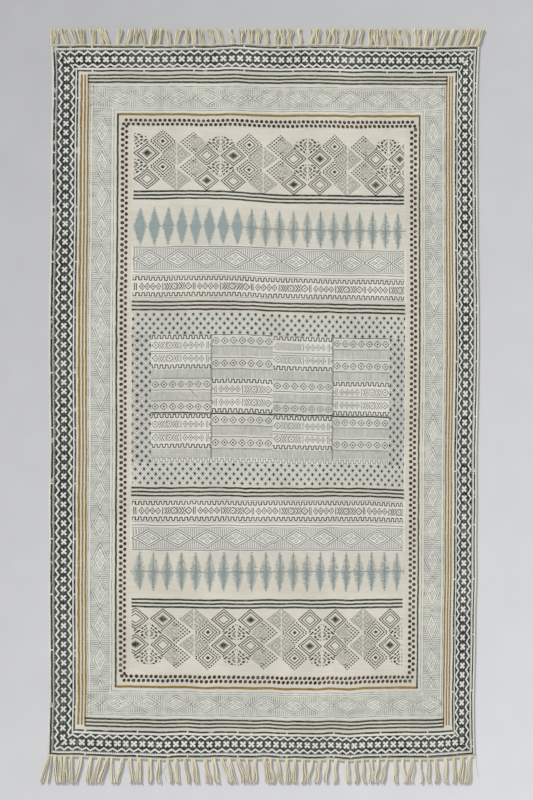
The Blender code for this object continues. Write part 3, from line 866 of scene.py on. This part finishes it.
# ---- Inner diamond band -------------------------------------------------------
# A second, narrower use of the diamond block, in a slightly darker grey, across the
# field between thin ruled lines.
INNER_BAND_MM = 391.2
INNER_RULES_MM = ((424.4, 0.9), (422.5, 0.3), (419.4, 0.6), (362.2, 0.7), (355.4, 1.0))

# Black pigment, less thinned: the diamonds read as pencil grey on a brighter cotton.
material, add, u, v, place = start_print("grey_block_print_on_cotton")
row = add("Math ABSOLUTE", v)
in_field = within(add, u, FIELD_HALF_WIDTH_MM)
# the right half was set down a little late
late = add("Math MULTIPLY_ADD", add("Math GREATER_THAN", u, -3.0), -6.5, 340.2)
across = add("Math SUBTRACT", row, INNER_BAND_MM)
band, hatch = diamond_band(add, add("Math ADD", u, late), across, 79.2, 25.2, 27.0)
lines = rules(add, row, *INNER_RULES_MM)
zone_materials["inner_diamonds"] = finish_print(
    material, add, place,
    [(both(add, hatch, in_field), "535958", 0.6),
     (both(add, any_of(add, band, lines), in_field), "3A4142", 0.9)], "DFDED4")


# ---- Meander band -------------------------------------------------------------
# Thin black-grey outlines: a squared meander above and below a row of small dotted
# diamonds, chevrons and larger diamonds, nearly five times over across the field.
OUTLINE_GREY = "171D1E"
FIGURE_REPEAT_MM = 158.8
FIGURE_HALF_HEIGHT_MM = 10.2
MEANDER_LEVEL_MM = 4.4         # how far its level parts lie from the row's middle
MEANDER_BAND_MM = 315.2


def meander(add, along, across, pitch):
    """One line that turns squarely up and down across a narrow row."""
    step = add("Math PINGPONG", along, pitch / 2)
    low = add("Math LESS_THAN", step, pitch / 4)
    level = add("Math MULTIPLY_ADD", low, -2 * MEANDER_LEVEL_MM, MEANDER_LEVEL_MM)
    flat = add("Math COMPARE", across, level, 1.4)
    upright = both(add, add("Math COMPARE", step, pitch / 4, 1.35),
                   add("Math COMPARE", across, 0.0, 5.2))
    return any_of(add, flat, upright)


def figure_row(add, along, across, line):
    """Four small diamonds, chevrons and two large diamonds, drawn as heavily as line says."""
    across = add("Math ABSOLUTE", across)
    place = add("Math WRAP", along, FIGURE_REPEAT_MM - 8.0, -8.0)
    small = rhomb(add, add("Math PINGPONG", place, 7.5), across, 7.4, 9.8)
    small = both(add, rules(add, small, (0.92, line), (0.0, 0.3)),
                 add("Math LESS_THAN", place, 53.0))
    large_x = add("Math PINGPONG", add("Math ADD", place, -88.9), 19.1)
    large = rhomb(add, large_x, across, 10.8, 10.4)
    in_large = add("Math COMPARE", place, 108.0, 30.0)
    large_drawn = both(add, rules(add, large, (0.93, line), (0.0, 0.24)), in_large)
    slant = add("Math MULTIPLY_ADD", across, 0.75, place)
    chevrons = add("Math LESS_THAN", add("Math PINGPONG", slant, 3.4), 10.5 * line)
    chevrons = both(add, chevrons, add("Math COMPARE", place, 90.0, 28.0),
                    add("Math GREATER_THAN", large, 1.3))
    posts = both(add, add("Math LESS_THAN", add("Math PINGPONG", place, 2.2), 7.0 * line),
                 any_of(add, add("Math COMPARE", place, 142.0, 4.5),
                        add("Math COMPARE", place, 57.5, 3.5)))
    drawn = any_of(add, small, large_drawn, chevrons, posts)
    return both(add, drawn, add("Math LESS_THAN", across, FIGURE_HALF_HEIGHT_MM))


# Black-grey pigment off thin, hand-cut outlines, which look pencilled and a bit uneven.
material, add, u, v, place = start_print("black_grey_outline_print_on_cotton")
from_row = add("Math SUBTRACT", add("Math ABSOLUTE", v), MEANDER_BAND_MM)
in_field = within(add, u, FIELD_HALF_WIDTH_MM)
figures = figure_row(add, add("Math ADD", u, 359.2), from_row, 0.16)
outer = add("Math SUBTRACT", add("Math ABSOLUTE", from_row), 22.2)
turned = add("Math MULTIPLY", outer, add("Math SIGN", from_row))
edging = meander(add, add("Math ADD", u, 2.0), turned, 13.9)
lines = rules(add, outer, (8.9, 0.7))
figures = both(add, any_of(add, figures, edging, add("Math MULTIPLY", lines, 0.85)), in_field)
zone_materials["meander_band"] = finish_print(
    material, add, place, [(figures, OUTLINE_GREY, 1.0)], "DFDDD2")


# ---- Brown rules --------------------------------------------------------------
# Three brown-black ruled lines above and below the middle of the field, drawn by hand with
# a brush: dense, matt and slightly warm beside the navy ones.
BROWN_BLACK = "2A1F1C"
BROWN_RULES_MM = ((250.2, 2.6), (261.1, 2.6), (271.8, 2.6))

material, add, u, v, place = start_print("brown_ruled_cotton")
lines = rules(add, add("Math ABSOLUTE", v), *BROWN_RULES_MM)
lines = both(add, lines, within(add, u, FIELD_HALF_WIDTH_MM + 2.0))
zone_materials["brown_rules"] = finish_print(material, add, place, [(lines, BROWN_BLACK, 1.0)])


# ---- Dotted trellis -----------------------------------------------------------
# All round the middle: black lozenge dots in a reserved trellis of crossing lines, over a
# fine grey tint. The dots are dense and matt, and the tint looks like a haze round them.
TRELLIS_PITCH_MM = 25.6
TRELLIS_BLACK = "101314"
TRELLIS_GREY = "565A57"

# (zone, pitch across, how far it is shifted across and along, strength of the tint, ground)
for zone, pitch_u, shift_u, shift_v, tint, ground in (
    ("trellis_rows", 21.45, 379.6, -198.0, 0.24, "E2E1D6"),
    ("trellis_sides", 23.2, 382.0, 4.0, 0.36, "DAD9CF"),
):
    part = zone.removeprefix("trellis_")
    material, add, u, v, place = start_print("dotted_trellis_print_on_cotton_" + part)
    # the row below the panels was set down a little further right
    near_row = add("Math MULTIPLY", add("Math LESS_THAN", v, -181.0), -6.0)
    x = add("Math ADD", add("Math ADD", u, shift_u), near_row)
    y = add("Math ADD", add("Math ABSOLUTE", v), shift_v)
    dots = lattice_dots(add, x, y, pitch_u, TRELLIS_PITCH_MM, 0.185)
    gaps = lattice_dots(add, x, y, pitch_u, TRELLIS_PITCH_MM, 0.42)
    tiles = lattice_dots(add, x, y, pitch_u / 3, TRELLIS_PITCH_MM / 3, 0.34)
    in_field = within(add, u, FIELD_HALF_WIDTH_MM + 2.0)
    zone_materials[zone] = finish_print(
        material, add, place,
        [(both(add, gaps, in_field), TRELLIS_GREY, tint),
         (both(add, tiles, in_field), TRELLIS_GREY, 0.42),
         (both(add, dots, in_field), TRELLIS_BLACK, 1.0)], ground)


# ---- Middle panels ------------------------------------------------------------
# Four upright panels from one block in thin grey ink, each turned upside down against
# the last: meanders, rows of figures, rows of dotted flowers and bands of fine hatching.
PANEL_WIDTH_MM = 167.0
PANEL_REPEAT_MM = 223.3
PANEL_BLACK = "14191B"
PANEL_GREY = "6F7270"
PANEL_MEANDER_MM = 14.5        # one turn of its meanders
FIGURES_MM = 49.8              # the middle of the two rows of figures, down the panel
FIGURE_ROW_MM = 18.8           # how far each row lies from there
LOWER_PART_MM = 98.0           # where the flowers and the hatching begin
LOWER_REPEAT_MM = 63.2
HATCHED_MM = 23.2
FLOWER_ROW_MM = 42.5
FLOWER_PITCH_MM = 23.8
FLOWER_SIZE_MM = (11.0, 11.0)

# Thin black-grey pigment off a worn block: broken lines that look pencilled, and a haze
# where the hatching was too fine to hold its ink.
material, add, u, v, place = start_print("thin_grey_block_print_on_cotton")
panel = add("Math FLOOR", add("Math DIVIDE", u, PANEL_WIDTH_MM))
flip = add("Math FLOORED_MODULO", panel, 2.0)
x = add("Math MULTIPLY_ADD", panel, -PANEL_WIDTH_MM, u)
x = add("Math ABSOLUTE", add("Math MULTIPLY_ADD", flip, -PANEL_WIDTH_MM, x))
down = add("Math WRAP", add("Math SUBTRACT", 181.0, v), PANEL_REPEAT_MM, 0.0)
down = add("Math ABSOLUTE", add("Math MULTIPLY_ADD", flip, -PANEL_REPEAT_MM, down))
folded = away(add, down, FIGURES_MM)
figures = figure_row(
    add, add("Math SUBTRACT", 139.9, x), add("Math SUBTRACT", folded, FIGURE_ROW_MM), 0.11)
edging = meander(add, x, add("Math SUBTRACT", folded, 41.6), PANEL_MEANDER_MM)
ruled = rules(add, down, (48.4, 0.8), (55.1, 0.8))
in_lower = add("Math GREATER_THAN", down, LOWER_PART_MM)
step = add("Math WRAP", add("Math SUBTRACT", down, 99.3), LOWER_REPEAT_MM, 0.0)
# the hatching's own lines are too fine to show, so it is drawn as uneven strokes 3 mm wide
strokes = add("TexNoise", add("VectorMath MULTIPLY", place, (0.3, 0.02, 1.0)),
              into={"Scale": 1.0, "Detail": 1.0})
strokes = add("MapRange", strokes, 0.38, 0.62, 0.6, 1.0)
hatch = both(add, strokes, add("Math LESS_THAN", step, HATCHED_MM), in_lower)
flower_x = add("Math PINGPONG", add("Math SUBTRACT", x, 12.0), FLOWER_PITCH_MM / 2)
flower_y = away(add, step, FLOWER_ROW_MM)
flower = rhomb(add, flower_x, flower_y, *FLOWER_SIZE_MM)
flowers = rules(add, flower, (0.0, 0.3), (0.82, 0.12))
around = both(add, add("Math LESS_THAN", flower_y, 12.5),
              lattice_dots(add, x, flower_y, 5.9, 6.3, 0.3),
              add("Math GREATER_THAN", flower, 1.0))
lower_rules = rules(add, step, (27.0, 0.8), (58.6, 0.9), (24.4, 0.5))
dark_rule = rules(add, add("Math PINGPONG", down, PANEL_REPEAT_MM / 2), (0.0, 1.4))
post = add("Math MULTIPLY", rules(add, x, (165.7, 0.9)), 0.7)
lower = any_of(add, flowers, add("Math MULTIPLY", around, 0.45), lower_rules)
drawn = any_of(add, figures, edging, ruled, dark_rule, both(add, lower, in_lower), post)
# the lowest row of the near blocks is a meander again, thinly inked
near_end = add("Math LESS_THAN", v, -166.5)
last_edging = meander(add, x, add("Math ADD", v, 173.5), PANEL_MEANDER_MM)
last_edging = add("Math MULTIPLY", both(add, last_edging, near_end), 0.6)
drawn = add("Mix", near_end, into={2: drawn, 3: last_edging})
# a stray red thread left its mark across one panel
rightwards, upwards = add("Math ADD", u, 216.1), add("Math ADD", v, -14.3)
thread = both(add, add("Math COMPARE", add("Math ADD", rightwards, upwards), 0.0, 2.2),
              add("Math COMPARE", add("Math SUBTRACT", rightwards, upwards), 0.0, 23.0),
              strokes)
zone_materials["panels"] = finish_print(
    material, add, place,
    [(hatch, PANEL_GREY, 0.50), (drawn, PANEL_BLACK, 1.0), (thread, "A5604E", 0.7)], "DCDBD0")

# in the order in which the cloth's faces count them
for name in zone_names:
    cloth_data.materials.append(zone_materials[name])
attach(cloth, "root")
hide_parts("rug_cloth")

# ---- Warp fringes -------------------------------------------------------------
# The cotton warp itself, left uncut past the last weft rows: plied yarns that leave the
# cloth through a narrow twined strip in small locks, and lean where they fell. The +Y
# fringe is short and the -Y one longer, with a few loose threads.
STRIP_GAP = 0.0002
STRIP_WIDTH = 0.0042
STRIP_CORDS = ((0.28, 0.00115), (0.74, 0.00105))    # (share of the strip's width, radius)
STRIP_CORD_HEIGHT = 0.0036
STRIP_CORD_WAVE = 0.0002
STRIP_STEP = 0.012
STRIP_INSET = 0.001
STRIP_TONE = 5
SHORT_FRINGE = 0.0500
LONG_FRINGE = 0.0710
TIP_SKEW = 0.004
TIP_CUT = 0.001          # the shears cut the tips this much short
YARN_RADIUS = 0.00135
YARN_SPACING_MM = 2.3
YARN_HEIGHT = 0.0006     # of the lower layer's undersides over the floor
YARN_SIDES = 6
YARN_SECTIONS = 8
TIP_TAPER = 0.85
PLY_TURN_MM = 7.0
TONE_STEP_MM = 2000.0    # more than the longest yarn, so a place also tells the tone
LATE_LEAN = 0.4
LAYER_HEIGHT = 0.0024
LOCK_SHARE = 0.90        # of a lock's width, taken by its yarns' middle lines
LOCK_BOW = 0.0016        # how far the locks bow and wave
LOCK_WAVE = 0.0040
TIP_STRAY = 0.0026       # how far one yarn strays from its lock
BOW_STRAY = 0.0014
WAVE_STRAY = 0.0016
CUT_STRAY = 0.0012
LIFT_STRAY = 0.0010
LOOSE_RADIUS = 0.00045
LOOSE_HEIGHT = 0.0008
LOOSE_TONE = 2

# Warp locks from left to right.
# (root_mm from the middle, lean_mm of the tip to the right, width_mm)
SHORT_LOCKS_MM = (
    (-596, 1, 10.0), (-584, -3, 10.0), (-552, -16, 14.0), (-530, -12, 12.5),
    (-510, -10, 14.0), (-479, -7, 11.0), (-455, -13, 11.0), (-437, -17, 12.5),
    (-412, 8, 10.0), (-388, 16, 11.0), (-361, 2, 10.0), (-338, -6, 11.0),
    (-318, 8, 10.0), (-298, 6, 11.0), (-266, -10, 11.0), (-247, 12, 12.5),
    (-217, 0, 10.0), (-197, -2, 14.0), (-169, -15, 10.0), (-143, -11, 10.0),
    (-116, -16, 10.0), (-89, -7, 11.0), (-65, -2, 10.0), (-39, -2, 14.0),
    (-18, -1, 11.0), (8, -2, 12.5), (35, 1, 12.5), (53, -4, 11.0),
    (73, -1, 12.5), (102, -2, 10.0), (130, 7, 11.0), (149, 1, 11.0),
    (175, 1, 17.0), (198, 2, 12.5), (222, 6, 11.0), (242, 10, 11.0),
    (271, 3, 11.0), (295, 6, 11.0), (319, -6, 11.0), (340, -4, 12.5),
    (362, -5, 12.5), (382, -8, 11.0), (406, -12, 10.0), (429, 0, 17.0),
    (455, 3, 11.0), (472, 11, 11.0), (494, 14, 11.0), (517, 18, 11.0),
    (541, 19, 11.0), (565, 16, 11.0), (584, 13, 12.0), (597, 16, 12.0),
)
LONG_LOCKS_MM = (
    (-597, -22, 7.0), (-590, -10, 4.5), (-581, 7, 10.0), (-567, 4, 12.0),
    (-553, 3, 11.0), (-534, -1, 10.0), (-507, -15, 10.0), (-479, -10, 11.0),
    (-454, -21, 12.5), (-433, -22, 10.0), (-421, 1, 9.0), (-391, -17, 12.5),
    (-370, 6, 11.0), (-344, 0, 14.0), (-313, -2, 12.5), (-288, 1, 8.5),
    (-264, 9, 8.5), (-242, 8, 11.0), (-215, 9, 10.0), (-193, 11, 14.0),
    (-158, 10, 12.5), (-136, 13, 14.0), (-113, 24, 11.0), (-92, 19, 12.5),
    (-66, 16, 11.0), (-42, 8, 12.5), (-18, -1, 11.0), (6, 15, 11.0),
    (25, 7, 11.0), (44, 12, 11.0), (71, 2, 11.0), (93, 0, 11.0),
    (117, -1, 12.5), (143, -12, 10.0), (164, -9, 11.0), (187, -5, 10.0),
    (211, -4, 11.0), (239, 6, 11.0), (265, 0, 8.5), (284, 6, 10.0),
    (307, 1, 11.0), (328, -4, 10.0), (353, -15, 8.5), (376, 4, 10.0),
    (397, 7, 8.5), (423, -6, 12.5), (446, 4, 8.5), (469, 3, 10.0),
    (490, 0, 11.0), (517, 3, 11.0), (541, -2, 10.0), (563, -1, 11.0),
    (586, -7, 12.5),
)

# Loose threads of the long fringe. (root_mm, lean_mm, bow_mm, share of the length)
LOOSE_THREADS_MM = (
    (-588, 8, 7, 1.0), (-306, 22, -3, 0.97), (-298, 30, 4, 0.9), (-262, -26, 2, 0.8),
    (300, 16, 5, 0.95), (352, -14, -5, 0.9), (604, 7, -3, 0.9), (-125, 14, -4, 0.75),
)


def mark_ring(yarn_place, ring, along_mm, tone):
    """Writes each corner's place round the yarn and along it, for the ply's twist."""
    for number, corner in enumerate(ring):
        angle = 2 * pi * number / len(ring)
        corner[yarn_place] = (cos(angle), sin(angle), along_mm + tone * TONE_STEP_MM)


def draw_yarn(fringe, points, radius, tone):
    """One yarn along a few points: a capped ring, drawn out and turned at each point."""
    mesh = bmesh.new()
    yarn_place = mesh.verts.layers.float_vector.new("yarn_place")
    headings = [(after - before).normalized() for before, after
                in zip([points[0], *points[:-1]], [*points[1:], points[-1]])]
    upright = headings[0].to_track_quat("Z", "Y").to_matrix().to_4x4()
    ring = bmesh.ops.create_circle(
        mesh, cap_ends=True, segments=YARN_SIDES, radius=radius,
        matrix=Matrix.Translation(points[0]) @ upright)["verts"]
    face = ring[0].link_faces[0]
    mark_ring(yarn_place, face.verts, 0.0, tone)
    length = 0.0
    for number in range(1, len(points)):
        length += (points[number] - points[number - 1]).length / MM
        face = bmesh.ops.extrude_discrete_faces(mesh, faces=[face])["faces"][0]
        corners = face.verts[:]
        turn = headings[number - 1].rotation_difference(headings[number]).to_matrix()
        bmesh.ops.rotate(mesh, cent=points[number - 1], matrix=turn, verts=corners)
        bmesh.ops.translate(mesh, vec=points[number] - points[number - 1], verts=corners)
        if number == len(points) - 1:
            bmesh.ops.scale(
                mesh, vec=(TIP_TAPER, TIP_TAPER, TIP_TAPER), verts=corners,
                space=Matrix.Translation(-points[number]))
        mark_ring(yarn_place, corners, length, tone)
    open_edges = [line for line in mesh.edges if line.is_boundary]
    bmesh.ops.holes_fill(mesh, edges=open_edges, sides=YARN_SIDES)
    bmesh.ops.recalc_face_normals(mesh, faces=mesh.faces[:])
    for face in mesh.faces:
        face.smooth = len(face.verts) == 4
        if not face.smooth:
            for line in face.edges:
                line.smooth = False
    finished = bpy.data.meshes.new("yarn")
    mesh.to_mesh(finished)
    mesh.free()
    fringe.from_mesh(finished)
    bpy.data.meshes.remove(finished)


def lock_way(root, lean, bow, along):
    """Sideways place of a lock's middle line, a share of the way to its tip."""
    late = along * along * (3 - 2 * along)
    return root + lean * ((1 - LATE_LEAN) * along + LATE_LEAN * late) + bow * sin(pi * along)


def twined_strip(fringe, edge, side, start, finish):
    """The strip that holds the warp: two tight cords of weft along the cloth's end."""
    for cord, radius in STRIP_CORDS:
        points = []
        for x in [*evenly(start, finish, STRIP_STEP), finish]:
            y = between(edge, x, 1) + side * (STRIP_GAP + cord * STRIP_WIDTH)
            points.append(Vector((x, y, STRIP_CORD_HEIGHT + STRIP_CORD_WAVE * sin(x * 900))))
        draw_yarn(fringe, points, radius, STRIP_TONE)


def make_fringe(name, locks_mm, side, reach, fan, loose, inner_tones, seed):
    """One end's strip and its locks of yarns, as one mesh."""
    chance = random.Random(seed)
    # the cloth's end from left to right, as (x, y) rows
    edge = [cloth_point(row[0] * MM, side * CLOTH_LENGTH / 2) for row in END_WAVES_MM]
    fringe = bmesh.new()
    fringe.verts.layers.float_vector.new("yarn_place")
    twined_strip(fringe, edge, side, edge[0][0] + STRIP_INSET, edge[-1][0] - STRIP_INSET)
    for number, (root_mm, lean_mm, width_mm) in enumerate(locks_mm):
        # the yarns lie in two layers, the upper ones in the dips between the lower ones
        lower_yarns = max(2, round(width_mm / YARN_SPACING_MM))
        upper_yarns = lower_yarns - 1
        lock_bow = LOCK_BOW * sin(2.4 * number)
        for yarn in range(lower_yarns + upper_yarns):
            upper = yarn >= lower_yarns
            layer_place = yarn - lower_yarns + 1.0 if upper else yarn + 0.5
            across = layer_place / lower_yarns - 0.5
            root = root_mm * MM + across * width_mm * MM * LOCK_SHARE
            fan_share = fan + 0.3 * sin(1.7 * number) - LOCK_SHARE
            tip_shift = across * width_mm * MM * fan_share + chance.uniform(-1, 1) * TIP_STRAY
            bow = lock_bow + chance.uniform(-1, 1) * BOW_STRAY
            wave = LOCK_WAVE * sin(3.1 * number) + chance.uniform(-1, 1) * WAVE_STRAY
            lift = chance.uniform(0.2, 1) * LIFT_STRAY + LAYER_HEIGHT * upper
            start_y = between(edge, root, 1) + side * STRIP_GAP
            tip_y = side * (CLOTH_LENGTH / 2 + reach - TIP_CUT) + TIP_SKEW * root
            tip_y += side * chance.uniform(-1, 0.6) * CUT_STRAY
            # the outer yarns of a lock are paler than those inside it
            outermost = yarn in (0, lower_yarns - 1)
            tone = chance.randrange(0, 4) if outermost else chance.randrange(*inner_tones)
            radius = YARN_RADIUS * chance.uniform(0.85, 1.15)
            points = []
            for section in range(YARN_SECTIONS + 1):
                along = section / YARN_SECTIONS
                x = lock_way(root, lean_mm * MM + tip_shift, bow, along)
                x += wave * sin(2 * pi * along) * along
                y = start_y + (tip_y - start_y) * along
                z = radius + YARN_HEIGHT + lift * eased(0.0, 0.3, along + 0.1)
                points.append(Vector((x, y, z)))
            draw_yarn(fringe, points, radius, tone)
    for root_mm, lean_mm, bow_mm, share in loose:
        start_y = between(edge, root_mm * MM, 1) + side * STRIP_GAP
        points = []
        for section in range(YARN_SECTIONS + 1):
            along = section / YARN_SECTIONS
            x = lock_way(root_mm * MM, lean_mm * MM, bow_mm * MM, along)
            points.append(Vector((x, start_y + side * reach * share * along, LOOSE_HEIGHT)))
        draw_yarn(fringe, points, LOOSE_RADIUS, LOOSE_TONE)
    data = bpy.data.meshes.new(name)
    fringe.to_mesh(data)
    fringe.free()
    data.materials.append(warp_yarn)
    piece = bpy.data.objects.new(name, data)
    bpy.context.scene.collection.objects.link(piece)
    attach(piece, "root")
    return piece


# Undyed two-ply cotton warp: straw-coloured, matt and hairy, with painted shade in the grooves
# between its plies, and bleached paler in patches.
warp_yarn = bpy.data.materials.new("undyed_plied_cotton_yarn")
warp_yarn.use_nodes = True
warp_yarn.node_tree.nodes.clear()
add = node_adder(warp_yarn)
yarn_place = add("Attribute", attribute_name="yarn_place", out=1)
round_x = add("SeparateXYZ", yarn_place)
round_y, yarn_along = round_x.node.outputs[1:3]
angle = add("Math ARCTAN2", round_y, round_x)
twist = add("Math MULTIPLY_ADD", yarn_along, 2 * pi / PLY_TURN_MM, angle)
plies = add("Math ABSOLUTE", add("Math SINE", twist))
tone = add("Math FLOOR", add("Math DIVIDE", yarn_along, TONE_STEP_MM))
hair = add("TexNoise", add("TexCoord", out=3), into={"Scale": 900.0, "Detail": 2.0})
straw = add("Mix", add("Math DIVIDE", tone, 9.0),
            into={6: from_hex("ECE7D6"), 7: from_hex("C6BA92")}, data_type="RGBA", out=2)
# painted shade: the colour darkens towards the grooves where the two plies twist together
ply_groove_shade = add("MapRange", plies, 0.0, 0.6, 0.0, 1.0)
straw = add("Mix", ply_groove_shade, into={6: from_hex("AEA585"), 7: straw}, data_type="RGBA", out=2)
bleached = add("MapRange", hair, 0.5, 0.75, 0.0, 0.55)
straw = add("Mix", bleached, into={6: straw, 7: from_hex("EDE8D8")}, data_type="RGBA", out=2)
height = add("Math MULTIPLY_ADD", hair, 0.3, plies)
bump = add("Bump", into={"Height": height, "Strength": 0.7, "Distance": 0.0005})
shader = add("BsdfPrincipled", into={
    "Base Color": straw, "Normal": bump, "Roughness": 0.95, "Sheen Weight": 0.2,
    "Sheen Roughness": 0.5, "Specular IOR Level": 0.2, "IOR": 1.5,
})
add("OutputMaterial", shader)

# the long fringe is paler than the short one
short_fringe = make_fringe(
    "short_warp_fringe", SHORT_LOCKS_MM, 1, SHORT_FRINGE, 1.5, (), (3, 10), 11)
long_fringe = make_fringe(
    "long_warp_fringe", LONG_LOCKS_MM, -1, LONG_FRINGE, 1.35, LOOSE_THREADS_MM, (1, 8), 23)
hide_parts("fringe_short")
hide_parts("fringe_long")

# ---- Studio -------------------------------------------------------------------
# A pale floor, painted darker towards the upper left and paler towards the lower right in place of
# light falling off, one soft key light low on the upper left and an even fill, and the camera
# straight above the rug.
FLOOR_HALF_WIDTH = 20.0
FLOOR_HEIGHT = -0.0002
FILL_STRENGTH = 0.61
KEY_STRENGTH = 3.0
KEY_SPREAD = radians(7)
KEY_WAY = (0.53, -0.82, -0.5)
VIEW_LENGTH = 2.250     # what the picture's long side takes in
CAMERA_HEIGHT = 6.0
CAMERA_PLACE = (0.0102, 0.0051, CAMERA_HEIGHT)
CAMERA_TURN = 0.004     # the rug lies this much askew in the picture
SENSOR_MM = 36.0

floor_mesh = bmesh.new()
bmesh.ops.create_grid(floor_mesh, x_segments=1, y_segments=1, size=FLOOR_HALF_WIDTH)
bmesh.ops.translate(floor_mesh, vec=(0, 0, FLOOR_HEIGHT), verts=floor_mesh.verts[:])
floor_data = bpy.data.meshes.new("studio_floor")
floor_mesh.to_mesh(floor_data)
floor_mesh.free()
floor = bpy.data.objects.new("studio_floor", floor_data)
bpy.context.scene.collection.objects.link(floor)
# Matt painted board: a pale grey, a little cloudy, with painted light that leaves it darker
# towards the upper left and paler towards the lower right, so the rug's shadow reads on it.
pale_floor = bpy.data.materials.new("pale_matt_floor")
pale_floor.use_nodes = True
pale_floor.node_tree.nodes.clear()
add = node_adder(pale_floor)
floor_place = add("TexCoord", out=3)
cloudy = add("TexNoise", floor_place, into={"Scale": 9.0, "Detail": 5.0})
floor_x = add("SeparateXYZ", floor_place)
floor_y = floor_x.node.outputs[1]
# painted light: the grey grows paler to the right and towards -Y, as if the light fell off towards
# the upper left; the noise adds the board's own cloudiness
tone_and_painted_light_falloff = add("Math MULTIPLY_ADD", floor_x, 0.23, add("Math MULTIPLY", cloudy, 0.25))
tone_and_painted_light_falloff = add("Math MULTIPLY_ADD", floor_y, -0.30, tone_and_painted_light_falloff)
tone_and_painted_light_falloff = add("MapRange", tone_and_painted_light_falloff, -0.4, 0.65, 0.0, 1.0)
grey = add("Mix", tone_and_painted_light_falloff, into={6: from_hex("B1B1B2"), 7: from_hex("D9D9DA")},
           data_type="RGBA", out=2)
shader = add("BsdfPrincipled", into={"Base Color": grey, "Roughness": 0.9})
add("OutputMaterial", shader)
floor_data.materials.append(pale_floor)

world = bpy.data.worlds.new("soft_studio")
world.use_nodes = True
fill = world.node_tree.nodes["Background"]
fill.inputs["Color"].default_value = (0.98, 0.99, 1.0, 1.0)
fill.inputs["Strength"].default_value = FILL_STRENGTH
bpy.context.scene.world = world
bpy.context.scene.view_settings.view_transform = "Standard"

key_data = bpy.data.lights.new("soft_key", "SUN")
key_data.energy = KEY_STRENGTH
key_data.angle = KEY_SPREAD
key = bpy.data.objects.new("soft_key", key_data)
key.rotation_euler = Vector(KEY_WAY).to_track_quat("-Z", "Y").to_euler()
bpy.context.scene.collection.objects.link(key)

camera_data = bpy.data.cameras.new("overhead")
camera_data.sensor_width = SENSOR_MM
camera_data.lens = SENSOR_MM * CAMERA_HEIGHT / VIEW_LENGTH
camera_data.clip_end = 50.0
camera = bpy.data.objects.new("overhead", camera_data)
camera.location = CAMERA_PLACE
camera.rotation_euler = Euler((0.0, 0.0, CAMERA_TURN))
bpy.context.scene.collection.objects.link(camera)
bpy.context.scene.camera = camera
